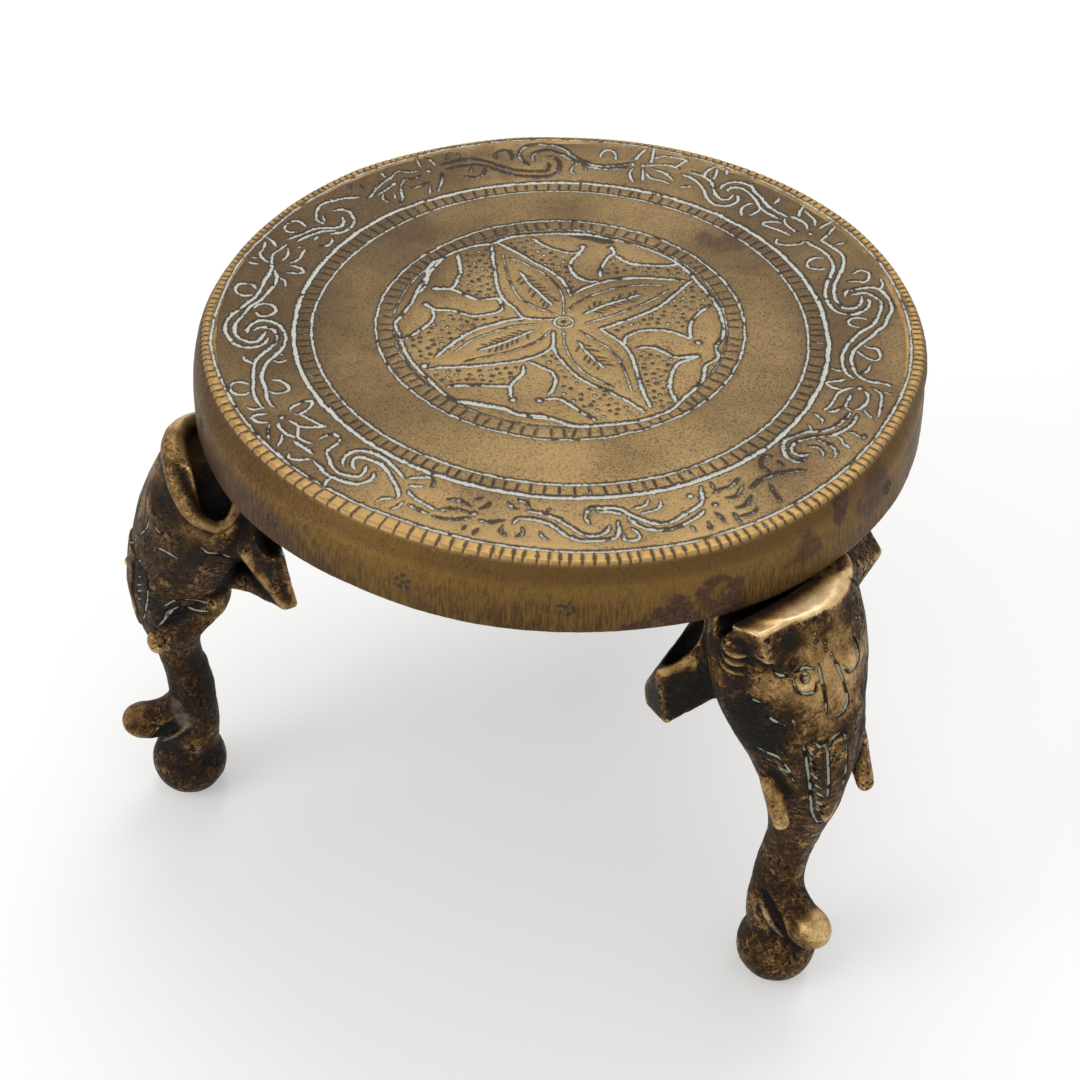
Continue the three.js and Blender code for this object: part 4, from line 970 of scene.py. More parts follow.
# a colour as it shows on screen, 0 to 255, as Blender wants it
def tint(red, green, blue):
    linear = [((v / 255 + 0.055) / 1.055) ** 2.4 if v > 10 else v / 255 / 12.92 for v in (red, green, blue)]
    return (*linear, 1.0)


topLook = {
    "gold": tint(152, 126, 84),
    "worn": tint(102, 83, 56),
    "brown": tint(80, 62, 42),
    "pit": tint(48, 38, 30),
    "dirt": tint(50, 42, 36),
    "residue": tint(212, 213, 203),
    "stain": tint(58, 39, 31),
    "crust": tint(88, 66, 54),
    "skirt": tint(124, 95, 50),
    "skirtDark": tint(70, 49, 31),
    "rub": tint(170, 137, 84),
}


def topFinish():
    f = Finish("aged_top_brass")
    residue, dirt, near = f.paint("residue"), f.paint("dirt"), f.paint("near")
    skirt, stain, rub, tarnish = f.paint("skirt"), f.paint("stain"), f.paint("rub"), f.paint("tarnish")
    low = f.paint("low")
    cloud, mottle, grit = f.noise(30, 4), f.noise(5.5, 5, shift=3), f.noise(0.8, 4, shift=7)
    streak = f.noise(0.62, 4, stretch=(1, 1, 0.12), shift=5)
    speck = f.pits(0.8)
    # the tarnish paint brings painted shade and sheen into the face's brass, its browns and pits and the
    # skirt's streaks
    wearAndSheen = f.ramp(cloud * 0.5 + mottle * 0.4 + grit * 1.5 - tarnish * 0.32, 0.86, 1.32)
    face = f.blend(wearAndSheen, topLook["worn"], topLook["gold"])
    brown = f.ramp(mottle * 0.8 + grit * 1.7 + near * 0.1 + tarnish * 0.25, 1.2, 1.68)
    face = f.blend(brown * 0.8, face, topLook["brown"])
    streaksAndShade = f.ramp(streak * 0.9 + mottle * 0.35 + cloud * 0.4 + low * 0.3 + tarnish * 0.2, 0.78, 1.36)
    side = f.blend(streaksAndShade, topLook["skirt"], topLook["skirtDark"])
    # painted shade: the skirt darker in a band just below the face's edge
    side = f.blend(f.ramp(low, 0.14, 0.0) * 0.45, side, topLook["skirtDark"])
    colour = f.blend(skirt, face, side)
    pitMask = f.ramp(speck, 0.36, 0.16) * f.ramp(mottle + grit * 0.6 + tarnish * 0.2, 0.62, 0.86)
    colour = f.blend(pitMask * (0.6 - skirt * 0.45), colour, topLook["pit"])
    crust = f.blend(f.ramp(grit + mottle * 0.5, 0.66, 0.9), topLook["stain"], topLook["crust"])
    colour = f.blend(f.ramp(stain + mottle * 0.9 + grit * 0.8, 0.9, 1.75) * 0.88, colour, crust)
    # bright brass on the beads and just below the edge: rubbed wear with a painted highlight
    colour = f.blend(f.ramp(rub * (mottle + grit * 0.6), 0.3, 0.8), colour, topLook["rub"])
    colour = f.blend(f.ramp(dirt + grit * 0.4, 0.5, 1.2) * 0.8, colour, topLook["dirt"])
    salt = f.ramp(residue + (grit - 0.5) * 1.3 + (mottle - 0.5) * 0.9, 0.26, 0.8)
    colour = f.blend(salt * 0.94, colour, topLook["residue"])
    metallic = (1 - salt) * (1 - dirt * 0.5) * 0.92
    roughness = 0.42 + salt * 0.4 + dirt * 0.15 + grit * 0.14 + pitMask * 0.2 + skirt * 0.06
    height = grit * 0.35 + mottle * 0.3 - pitMask * 0.5 + salt * grit
    return f.metal(colour, metallic, roughness, height, 0.5)


screwLook = {"gold": tint(150, 122, 76), "brown": tint(86, 66, 42)}


def screwFinish():
    f = Finish("turned_screw_brass")
    mottle, grit = f.noise(3, 4), f.noise(0.6, 3, shift=4)
    colour = f.blend(f.ramp(mottle * 0.6 + grit * 0.4, 0.38, 0.66), screwLook["gold"], screwLook["brown"])
    return f.metal(colour, 0.9, 0.38 + grit * 0.2, grit + mottle, 0.4)


# legs
# share of the head's length, front and back as shares of its depth, width share
headRows = [(0.0, -0.08, -0.70, 0.78), (0.06, -0.045, -0.73, 0.85), (0.14, 0.03, -0.745, 0.91),
            (0.24, 0.1, -0.72, 0.95), (0.36, 0.165, -0.66, 0.90), (0.48, 0.22, -0.53, 0.78),
            (0.6, 0.25, -0.40, 0.62), (0.72, 0.235, -0.30, 0.49), (0.84, 0.195, -0.22, 0.40),
            (1.0, 0.08, -0.12, 0.2)]
# points u, v, z in the leg's frame and a radius: outward from the table's axis, sideways, up
tipLine = [(110.8, 0, 50, 4.2), (112.2, 0, 40, 5.7), (117, 0, 32.0, 5.8), (123.2, 0, 28.9, 5.9),
           (128.2, 0, 29.1, 5.8), (129.4, 0, 29.4, 5.2)]
hollowLine = [(114.9, 7.1, 35, 1.2), (118.8, 7.0, 31.8, 1.9), (122.4, 6.5, 28.5, 2.0),
              (125.2, 5.5, 25.5, 1.3)]
crestLine = [(111.8, 6.4, 36.5, 0.6), (115.6, 6.9, 30.8, 0.9), (119.3, 6.7, 27.2, 0.9),
             (123.4, 5.4, 24.2, 0.5)]
sheathLine = [(110.5, 13.2, 101, 3.2), (115.6, 12.9, 98.2, 3.2), (119.4, 10.8, 93.6, 2.9),
              (121, 8.8, 88, 2.2)]
neckLine = [(80.4, 0, 149, 7.6), (82, 0, 139.6, 8), (88.6, 0, 131, 9.4), (95, 0, 123, 9.8)]
# middle and half sizes of the small lumps
frontSwells = ((114.4, 8.6, 120.2), (4.4, 4.0, 3.4))
trunkKnob = ((124.4, 0, 93.6), (2.2, 1.5, 1.5))
lowerSwells = ((103, 9, 86), (5, 5, 4.5))
# What differs from leg to leg. Lines are u, v on either side, z and a radius, and each face of the ear
# is given by three points on it.
rightForm = {
    "trunk": [(116.4, 0, 86.3, 9.2), (115.7, 0, 71.1, 8.0), (114.1, 0, 55.8, 6.9), (112.4, 0, 40.6, 6.8),
              (112.8, 0, 25.4, 7.5), (115.7, 0, 10.2, 7.9)],
    "tusks": [[(109.5, -12.2, 96, 3.0), (114.4, -13.4, 88, 3.0), (119.2, -14.2, 80.5, 2.6),
               (122.7, -14.6, 75.8, 2.2)],
              [(111.5, 11.4, 99, 3.4), (117.2, 12.7, 90.5, 3.4), (121.2, 13.4, 81.6, 3.0),
               (123.9, 13.6, 75.6, 2.5)]],
    "lip": None,
    "brow": {
        "middle": (105, -8, 133),
        "front": [(111.3, -19, 136.4), (111.5, 6, 136.4), (112.4, -5, 131)],
        "near": [(110.4, -19.4, 136.6), (105.2, -21.6, 136.6), (108.6, -19.2, 128)],
        "top": [(100, 0, 137.1), (110, 0, 137.1), (105, 10, 137.1)],
        "under": [(110.5, -20, 128), (104.5, -21.5, 129.5), (110, 6, 124)],
        "back": [(96, -20, 130), (96, 0, 130), (96, 0, 136)],
        "far": [(110, 8, 137), (103, 12, 137), (106, 9, 130)],
    },
    "shaves": [[(111.2, 6.6, 137.1), (103.2, 19.2, 136.8), (111.4, 13.6, 131.2)]],
    "trench": (98.4, 3.4, 40.0, 0.17),  # radius of its middle, half its width, reach sideways, and skew
    "trenchFloor": [(0, 130.3), (8, 130.3), (20, 132.5)],
    "ear": {
        "middle": (86, 25, 108),
        "front": [(94.5, 23.2, 118.7), (90, 33.9, 113.6), (92, 31.2, 95.2)],
        "bottom": [(92, 31.2, 95.2), (96, 20.1, 102.0), (84, 30.4, 92)],
        "end": [(90, 34.1, 113.6), (92, 31.4, 95.2), (84, 31.4, 104)],
        "top": [(94.5, 23.2, 118.9), (90, 33.9, 113.8), (84, 29, 122)],
        "tip": [(90, 34.3, 116.8), (80, 26.2, 104.1), (90, 24.3, 127.9)],
        "back": [(79, 10, 110), (79, 30, 110), (79, 20, 125)],
        "inner": [(90, 7, 100), (90, 7, 130), (79, 15, 115)],
    },
    "hollow": ((87.2, -25.5, 121), (4.4, 9, 8.5)),
    "farEar": (1.28, 4.5),  # the far ear is longer and stands higher, mm
    "farCut": [(88.0, 44.3, 117.0), (88.0, 40.2, 112.0), (100.0, 27.6, 127.3)],
    "knuckle": True,
}
leftForm = {
    "trunk": [(116.4, 0, 86.3, 9.2), (116.4, 0, 71.1, 7.1), (115.5, 0, 62, 6.2), (114.3, 0, 54, 6.4),
              (112.5, 0, 40.6, 6.8), (112.8, 0, 25.4, 7.5), (115.7, 0, 10.2, 7.9)],
    "tusks": [[(104.5, 12.5, 85, 4.4), (112.5, 13.8, 78, 4.6), (120, 14.4, 74.6, 3.9)],
              [(104.5, -12.5, 85, 4.4), (112.5, -13.8, 78, 4.6), (120, -14.4, 74.6, 3.9)]],
    "lip": [(98.5, -12.6, 131.6, 2.2), (102.4, -10.6, 133.2, 2.5), (106.3, -7, 134.5, 2.7),
            (108.6, -3.2, 135.2, 2.8), (109.9, 0.8, 135.5, 2.8), (110.4, 7.5, 134.9, 2.8),
            (110.1, 14.5, 132.5, 2.8), (108, 20.8, 127.6, 2.3), (105, 23.4, 124.6, 1.7),
            (101.3, 24.6, 122.9, 1.3), (97.8, 23.8, 123.6, 1.2), (95, 21.3, 126.5, 1.0)],
    "shaves": [[(103.1, -12.4, 134.0), (110.8, -5.1, 133.0), (110.5, -20.4, 121.0)],
               [(111.6, -2.2, 134.0), (117.0, -1.9, 124.0), (116.9, -16.7, 112.0)]],
    "trench": (102.4, 4.0, 19.6, 0.0),
    "trenchFloor": [(0, 136.8), (7, 136.2), (12, 134.8), (15, 131), (18, 123.5)],
    "web": [(97, 12, 94, 4.0), (92.2, 20, 97, 3.0), (88.5, 27.5, 98.9, 2.4), (85.2, 33.2, 101, 1.7)],
    "ear": {
        "middle": (86, 27, 106),
        "front": [(96.8, 21.8, 112), (89.1, 35, 105.5), (85.7, 35, 98.4)],
        "bottom": [(85.7, 35, 98.4), (81.4, 35, 99.1), (94, 20, 96)],
        "end": [(85.7, 35, 98.4), (81.4, 35, 99.1), (83, 35, 115)],
        "top": [(96.8, 21.8, 113.5), (89.1, 35, 105.8), (81.5, 33, 121)],
        "tip": [(81, 30, 94.1), (80.1, 20, 84.7), (84.4, 30, 116.8)],
        "back": [(78.5, 10, 110), (78.5, 30, 110), (78.5, 20, 125)],
        "inner": [(90, 7, 100), (90, 7, 130), (79, 15, 115)],
    },
    "hollow": ((86.5, 25, 124.5), (5.2, 9.5, 11.5)),
    "farEar": (1.0, 0.0),
    "farCut": None,
    "knuckle": False,
}


class Clay:
    def __init__(self, low, high, cell):
        self.low, self.cell = np.array(low, float), cell
        self.count = np.ceil((np.array(high) - self.low) / cell).astype(int) + 1
        self.field = np.full(self.count, 9.0, np.float32)  # mm outside the solid

    def window(self, low, high):
        start = np.clip(((np.array(low) - self.low) / self.cell).astype(int), 0, self.count - 2)
        stop = np.clip(((np.array(high) - self.low) / self.cell).astype(int) + 2, start + 1, self.count)
        lines = [self.low[i] + self.cell * np.arange(start[i], stop[i]) for i in range(3)]
        grid = np.meshgrid(*[line.astype(np.float32) for line in lines], indexing="ij", sparse=True)
        return tuple(slice(a, b) for a, b in zip(start, stop)), grid

    def add(self, shape, low, high, soft=1.5):
        where, (u, v, z) = self.window(low, high)
        new, old = shape(u, v, z), self.field[where]
        share = np.clip(0.5 + 0.5 * (old - new) / soft, 0, 1)
        self.field[where] = old * (1 - share) + new * share - soft * share * (1 - share)

    def cut(self, shape, low, high, soft=0.8):
        where, (u, v, z) = self.window(low, high)
        new, old = -shape(u, v, z), self.field[where]
        share = np.clip(0.5 + 0.5 * (new - old) / soft, 0, 1)
        self.field[where] = old * (1 - share) + new * share + soft * share * (1 - share)


# A tube of changing radius along a smooth line.
def tubeShape(line, widen=1.0, twin=False):
    rows = smoothLine(np.array(line, float), 2.5)

    def shape(u, v, z):
        across = (np.abs(v) if twin else v) / widen
        best = None
        for a, b in zip(rows, rows[1:]):
            way = b[:3] - a[:3]
            x, y, h = u - a[0], across - a[1], z - a[2]
            along = np.clip((x * way[0] + y * way[1] + h * way[2]) / (way @ way + 1e-9), 0, 1)
            away = np.sqrt((x - along * way[0])**2 + (y - along * way[1])**2 + (h - along * way[2])**2)
            away = away - (a[3] + along * (b[3] - a[3]))
            best = away if best is None else np.minimum(best, away)
        return best
    return shape


def lumpShape(place, size, twin=False):
    def shape(u, v, z):
        across = np.abs(v) if twin else v
        far = np.sqrt(((u - place[0]) / size[0])**2 + ((across - place[1]) / size[1])**2
                      + ((z - place[2]) / size[2])**2)
        return (far - 1) * min(size)
    return shape


def headShape(u, v, z):
    rows = smoothLine(np.array(headRows), 0.02)
    share = (legSet["crown"] - z) / legSet["headLength"]
    front = np.interp(share, rows[:, 0], rows[:, 1]) * legSet["headDepth"]
    back = np.interp(share, rows[:, 0], rows[:, 2]) * legSet["headDepth"]
    half = np.interp(share, rows[:, 0], rows[:, 3]) * legSet["headWidth"] / 2
    middle, deep = legSet["footReach"] + (front + back) / 2, (front - back) / 2
    x = (u - middle) / deep
    y = v / (half * (1 - 0.2 * np.clip(x, 0, 1)))
    body = ((np.abs(x)**2.25 + np.abs(y)**2.25) ** (1 / 2.25) - 1) * np.minimum(deep, half)
    top = z - legSet["crown"]
    return np.maximum(np.maximum(body, top), 56.0 - z)


# a groove with a round floor, open above, along the head's top
def trenchShape(form):
    middle, half, reach, skew = form["trench"]
    places, heights = zip(*form["trenchFloor"])

    def shape(u, v, z):
        aside = np.sqrt(u * u + v * v) - middle + skew * v
        below = np.minimum(z - np.interp(np.abs(v), places, heights), 0)
        beyond = np.maximum(np.abs(v) - reach, 0)
        return np.sqrt(aside * aside + below * below + beyond * beyond) - half
    return shape


# A plane through three points, as the normal that looks away from "inside" and its distance along it.
def planeThrough(corners, inside):
    a, b, c = (Vector(corner) for corner in corners)
    normal = (b - a).cross(c - a).normalized()
    if normal.dot(Vector(inside) - a) > 0:
        normal.negate()
    return normal, normal.dot(a)


# everything on the outer side of a plane through three points
def shaveShape(corners, inside=(100, 0, 115)):
    normal, offset = planeThrough(corners, inside)

    def shape(u, v, z):
        return offset - (u * normal.x + v * normal.y + z * normal.z)
    return shape


# A body with flat faces and soft edges. The faces are given by three points each.
def facetShape(faces, soft, farSide=(1.0, 0.0), twin=True):
    planes = [(name, *planeThrough(corners, faces["middle"]))
              for name, corners in faces.items() if name != "middle"]

    def shape(u, v, z):
        across = np.where(v > 0, v / farSide[0], -v) if twin else v
        level = z - np.where(v > 0, farSide[1], 0)
        outer = None
        for name, normal, offset in planes:
            new = u * normal.x + across * normal.y + level * normal.z - offset
            if name == "tip" and farSide[1]:
                new = np.where(v > 0, -9, new)
            if outer is None:
                outer = new
            else:
                share = np.clip(0.5 + 0.5 * (outer - new) / soft, 0, 1)
                outer = outer * share + new * (1 - share) + soft * share * (1 - share)
        return outer
    return shape


# mm: where the knuckle stands, how it leans, its size, and the height and spacing of its bars
knuckleSet = {"place": (104.1, 20.4), "level": (104.3, 126.2), "lean": 0.35, "halfHeight": 3.0,
              "radius": 3.2, "barHeight": 0.5, "barSpacing": 2.9, "barReach": 4.4}


# boss beside the lip's end, with three bars across it
def knuckleShape(u, v, z):
    (outward, sideways), (tiltPoint, height) = knuckleSet["place"], knuckleSet["level"]
    level = z - height + knuckleSet["lean"] * (u - tiltPoint)
    beyond = np.maximum(np.abs(level) - knuckleSet["halfHeight"], 0)
    away = np.sqrt((u - outward)**2 + ((np.abs(v) - sideways) / 1.1)**2 + beyond**2)
    bars = knuckleSet["barHeight"] * np.cos(level * 2 * math.pi / knuckleSet["barSpacing"])
    bars = bars * (np.abs(level) < knuckleSet["barReach"])
    return away - knuckleSet["radius"] - bars + 9 * (v > 0)


def flangeShape(u, v, z):
    long, wide = legSet["flangeStraight"]
    x, y = np.abs(u - legSet["flangeReach"]) - long, np.abs(v) - wide
    plan = np.sqrt(np.maximum(x, 0)**2 + np.maximum(y, 0)**2) + np.minimum(np.maximum(x, y), 0)
    plan = plan - legSet["flangeCorner"]
    middle = (legSet["flangeTop"] + legSet["flangeUnderside"]) / 2
    slab = np.abs(z - middle) - (legSet["flangeTop"] - legSet["flangeUnderside"]) / 2
    away = np.sqrt((u - legSet["flangeReach"])**2 + (np.abs(v) - legSet["screwSpacing"] / 2)**2)
    hole = legSet["screwHole"] - away
    return np.maximum(np.maximum(plan, slab), hole)


def growLeg(form):
    clay = Clay(legSet["low"], legSet["high"], legSet["cell"])
    crown = legSet["crown"]
    place, size = form["hollow"]
    clay.add(headShape, (84, -26, 54), (128, 26, crown + 1), 1.0)
    clay.add(tubeShape(form["trunk"], 1.1), (102, -13, -1), (130, 13, 97), 3.0)
    clay.add(tubeShape(sheathLine, 1.0, True), (103, -20, 80), (128, 20, 108), 2.2)
    for tusk in form["tusks"]:
        clay.add(tubeShape(tusk), (97, -22, 66), (130, 22, 104), 0.8)
    clay.add(facetShape(form["ear"], 1.1, form["farEar"]), (74, -39, 88), (108, 46, 138), 1.8)
    if form["farCut"]:
        clay.cut(shaveShape(form["farCut"], (86, 25, 118)), (74, 24, 88), (108, 46, 138), 0.8)
    clay.cut(lumpShape(place, size, place[1] > 0), (78, -38, 106), (97, 38, 140), 1.0)
    clay.add(tubeShape(neckLine, 1.45), (68, -18, 110), (108, 18, 150), 3.0)
    clay.add(lumpShape(*frontSwells, True), (106, -16, 113), (124, 16, 127), 2.0)
    if not form["lip"]:
        clay.add(facetShape(form["brow"], 0.8, twin=False), (94, -25, 123), (115, 14, crown + 1), 1.6)
    for corners in form["shaves"]:
        clay.cut(shaveShape(corners), (92, -27, 96), (126, 27, crown + 1), 2.0)
    clay.cut(trenchShape(form), (88, -30, crown - 22), (112, 30, crown + 2), 1.8)
    if form["lip"]:
        clay.add(tubeShape(form["lip"]), (90, -29, crown - 17), (117, 29, crown + 2), 2.0)
    if form["knuckle"]:
        clay.add(knuckleShape, (98, -26, 117), (111, 0, 136), 1.6)
    else:
        clay.add(tubeShape(form["web"], 1.0, True), (79, -38, 88), (103, 38, 107), 1.6)
        clay.add(lumpShape(*trunkKnob), (120, -4, 89), (129, 4, 98), 0.7)
        clay.add(lumpShape(*lowerSwells, True), (94, -17, 78), (110, 17, 94), 3.0)
    clay.add(flangeShape, (68, -27, 145), (93, 27, 152.5), 0.6)
    ball = (legSet["footReach"], 0, legSet["ballHeight"])
    clay.add(lumpShape(ball, (legSet["ballRadius"],) * 3), (100, -15, -0.6), (131, 15, 25), 1.6)
    clay.add(tubeShape(tipLine, 1.0), (104, -10, 18), (135, 10, 52), 1.1)
    clay.cut(tubeShape(hollowLine, 1.0, True), (112, -10, 21), (131, 10, 38), 0.7)
    clay.add(tubeShape(crestLine, 1.0, True), (110, -9, 19), (130, 9, 39), 0.9)
    # nothing reaches below the floor
    clay.cut(lambda u, v, z: z + 0 * u + 0 * v, clay.low, (135, 41, 1.5), 0.3)
    points, quads = skinOf(clay)
    points = evenOut(points, quadEdges(quads), 3)
    points[:, 2] = np.maximum(points[:, 2], 0)
    print("leg grown,", len(points), "points")
    return points, quads


# The clay's skin: one point in each cell that the surface crosses, and a quad for each crossed edge.
def skinOf(clay):
    field = clay.field
    inside = field < 0
    total = np.zeros(np.array(field.shape) - 1, np.uint8)
    corners = [(i, j, k) for i in (0, 1) for j in (0, 1) for k in (0, 1)]
    size = np.array(total.shape)
    for i, j, k in corners:
        total += inside[i:i + size[0], j:j + size[1], k:k + size[2]]
    cells = np.argwhere((total > 0) & (total < 8))
    index = np.full(total.shape, -1, np.int32)
    index[tuple(cells.T)] = np.arange(len(cells))
    values = [field[tuple((cells + corner).T)] for corner in corners]
    place, hits = np.zeros((len(cells), 3)), np.zeros(len(cells))
    for a in range(8):
        for b in range(a + 1, 8):
            if sum(abs(p - q) for p, q in zip(corners[a], corners[b])) != 1:
                continue
            crosses = (values[a] < 0) != (values[b] < 0)
            share = np.where(crosses, values[a] / np.where(crosses, values[a] - values[b], 1), 0)
            start, way = np.array(corners[a]), np.array(corners[b]) - np.array(corners[a])
            place += (start + share[:, None] * way) * crosses[:, None]
            hits += crosses
    points = clay.low + clay.cell * (cells + place / hits[:, None])
    quads = []
    for axis in range(3):
        one, two = [k for k in range(3) if k != axis]
        low = [slice(None)] * 3
        high = [slice(None)] * 3
        low[axis], high[axis] = slice(0, -1), slice(1, None)
        low[one] = high[one] = slice(1, -1)
        low[two] = high[two] = slice(1, -1)
        first, second = inside[tuple(low)], inside[tuple(high)]
        edge = np.argwhere(first != second)
        out = first[tuple(edge.T)]
        edge[:, one] += 1
        edge[:, two] += 1
        near = []
        for a, b in ((0, 0), (1, 0), (1, 1), (0, 1)):
            cell = edge.copy()
            cell[:, one] -= a
            cell[:, two] -= b
            near.append(index[tuple(cell.T)])
        ring = np.stack(near, 1)
        turn = out if axis != 1 else ~out
        quads.append(np.where(turn[:, None], ring, ring[:, ::-1]))
    return points, np.vstack(quads)


def evenOut(points, edges, rounds, share=0.5):
    count = np.bincount(edges.ravel(), minlength=len(points))[:, None]
    for _ in range(rounds):
        total = np.zeros_like(points)
        for axis in range(points.shape[1]):
            total[:, axis] = (np.bincount(edges[:, 0], points[edges[:, 1], axis], len(points))
                              + np.bincount(edges[:, 1], points[edges[:, 0], axis], len(points)))
        points = points * (1 - share) + total / count * share
    return points


def quadEdges(quads):
    edges = np.vstack([quads[:, [i, (i + 1) % 4]] for i in range(4)])
    return np.unique(np.sort(edges, 1), axis=0)


def legToRow(points, side):
    turn = math.radians(legAngles[side])
    u, v = points[:, 0], points[:, 1]
    if side == "right":
        v = v + legSet["rightLean"] * smoothStep(25, 70, points[:, 2])
    return np.column_stack([u * math.cos(turn) - v * math.sin(turn) + axisX,
                            u * math.sin(turn) + v * math.cos(turn) + axisY, points[:, 2]])


def rowToLeg(points, side):
    turn = math.radians(legAngles[side])
    x, y = points[:, 0] - axisX, points[:, 1] - axisY
    u, v = x * math.cos(turn) + y * math.sin(turn), -x * math.sin(turn) + y * math.cos(turn)
    if side == "right":
        v = v - legSet["rightLean"] * smoothStep(25, 70, points[:, 2])
    return np.column_stack([u, v, points[:, 2]])


# lines cut into the legs, read as photo pixels (1080 wide) and laid on the leg along the line of sight
rightSideLines = """
793.6 681, 797 691.5, 805.7 694, 815 691.5, 816 683; 795 672.6, 804 668, 814 669; 773 669, 778 675, 792 676;
747 698, 761 704; 766 716, 776 722.5, 785 726; 792 719, 795 726;
757 748, 769 753.6, 778 758, 786 767, 793 778;
760 757, 771 762, 780 769, 788 774, 793 782
"""
rightFarLines = """
853 636, 857 645, 859 657, 855.6 667, 848.7 671.7, 843.5 665.7; 850 578, 859 588, 861.6 602, 866 611
"""
middleLines = """
819 664, 821 676, 824.6 691.5, 826 703.6, 827 714; 821 678, 817.7 683; 833 657, 840 671, 845 686, 848 700,
843.5 712, 835 717; 803.5 746, 807 765, 810 786, 811 807, 815 818.6, 819.6 822.4, 832 813, 839.7 795.7,
843.5 776.5, 846.4 753.6, 843.5 734.4; 814 743, 821 746.6, 826 746, 833 738, 840 733;
826 746, 827 763, 828 780, 827 796; 808 749, 815 757; 809 756, 815 764; 810 764, 817 771;
811 773, 820 781; 812 782, 821 788;
813 790, 823 796; 814 799, 823 804; 815 808, 822 812
"""
leftSideLines = """
154 522.5, 156 530, 160.5 534, 165 531; 153 505.6, 154 515; 149 516, 146 527, 139 535; 153 551.5, 155 548,
167 553, 178 560; 199 547, 208 553, 220 554.6, 234 559; 220 545, 226 549; 137.5 561, 141 561;
139 568, 143 568; 137 577, 141 577; 136.5 585, 141 585; 136.5 591, 141 591; 137 599, 141 599;
148 571, 147 599, 143 620;
163.6 607, 176 600.5, 193 600.5, 209.5 603.6; 163 620, 168 613, 182 607, 196 610.5, 211 612;
155 629, 162 622, 173 611
"""
foreheadDots = readStrokes("814 619, 815 634, 816 642, 825.5 643, 826 650, 831.5 654, 856.5 617.5, "
                           "862.5 617.5, 864 628, 867 633")[0]
pupil = (805.7, 677.8, 4.2)  # middle and radius, photo pixels
roughPatch = (209, 563, 236, 590)  # scratched cheek of the left leg, photo pixels
lineSet = {"line": (1.12, 0.36), "dot": (1.1, 0.3), "scratch": (0.5, 0.14), "leftShare": 0.72}


# The stroke's points on the leg, in the leg's own frame, in as many runs as the leg shows of it.
def layOnLeg(tree, pixels, side, spacing=1.2):
    runs, run = [], []
    for pixel in smoothLine(pixels, spacing):
        start, way = sightLine(pixel)
        hit = tree.ray_cast(start, way)[0]
        if hit is None or (run and (hit - run[-1]).length > 2.5):
            runs.append(run)
            run = []
        if hit is not None:
            run.append(hit)
    runs.append(run)
    return [rowToLeg(np.array(r), side) for r in runs if len(r) > 1]


def mirrored(lines):
    return [line * (1, -1, 1) for line in lines]


def legLines(skins):
    trees = {}
    for side, (points, quads) in skins.items():
        trees[side] = BVHTree.FromPolygons(legToRow(points, side).tolist(), quads.tolist())
    laid = {}
    for name, text, side in (("near", rightSideLines, "right"), ("far", rightFarLines, "right"),
                             ("middle", middleLines, "right"), ("left", leftSideLines, "left")):
        laid[name] = [layOnLeg(trees[side], stroke, side) for stroke in readStrokes(text)]
    flat = {name: [run for runs in strokes for run in runs] for name, strokes in laid.items()}
    cheek = [run for runs in laid["near"][3:] for run in runs]
    turns = np.arange(0, 6.4, 0.5)
    ring = np.column_stack([pupil[0] + pupil[2] * np.cos(turns), pupil[1] + pupil[2] * np.sin(turns)])
    eye = layOnLeg(trees["right"], ring, "right")
    dots = []
    for dot in foreheadDots:
        dots += [run[:1] for run in layOnLeg(trees["right"], np.array([dot, dot + 0.5]), "right", 0.3)]
    random = np.random.default_rng(5)
    scratches = []
    for y in np.arange(roughPatch[1], roughPatch[3], 2.2):
        x = roughPatch[0] + random.uniform(-2, 8)
        end = (x + random.uniform(10, 20), y + random.uniform(-1, 5))
        scratches += layOnLeg(trees["left"], np.array([(x, y), end]), "left")
    centred = [line + (0, 2.6, 0) for line in flat["middle"]]
    return {"right": (flat["near"] + eye + flat["far"] + flat["middle"] + mirrored(cheek), dots, []),
            "rear": (flat["near"] + eye + mirrored(flat["near"] + eye) + centred, dots, []),
            "left": (flat["left"] + mirrored(flat["left"]) + centred, mirrored(dots),
                     scratches + mirrored(scratches))}


plateSet = {"rows": [(68.5, 0.0), (72, 1.8), (78, 3.7), (86, 5.0), (94, 5.6), (101.5, 5.8)], "rise": 0.7,
            "top": 101.0, "shift": {"right": -2.6, "left": 0.0, "rear": 0.0}}
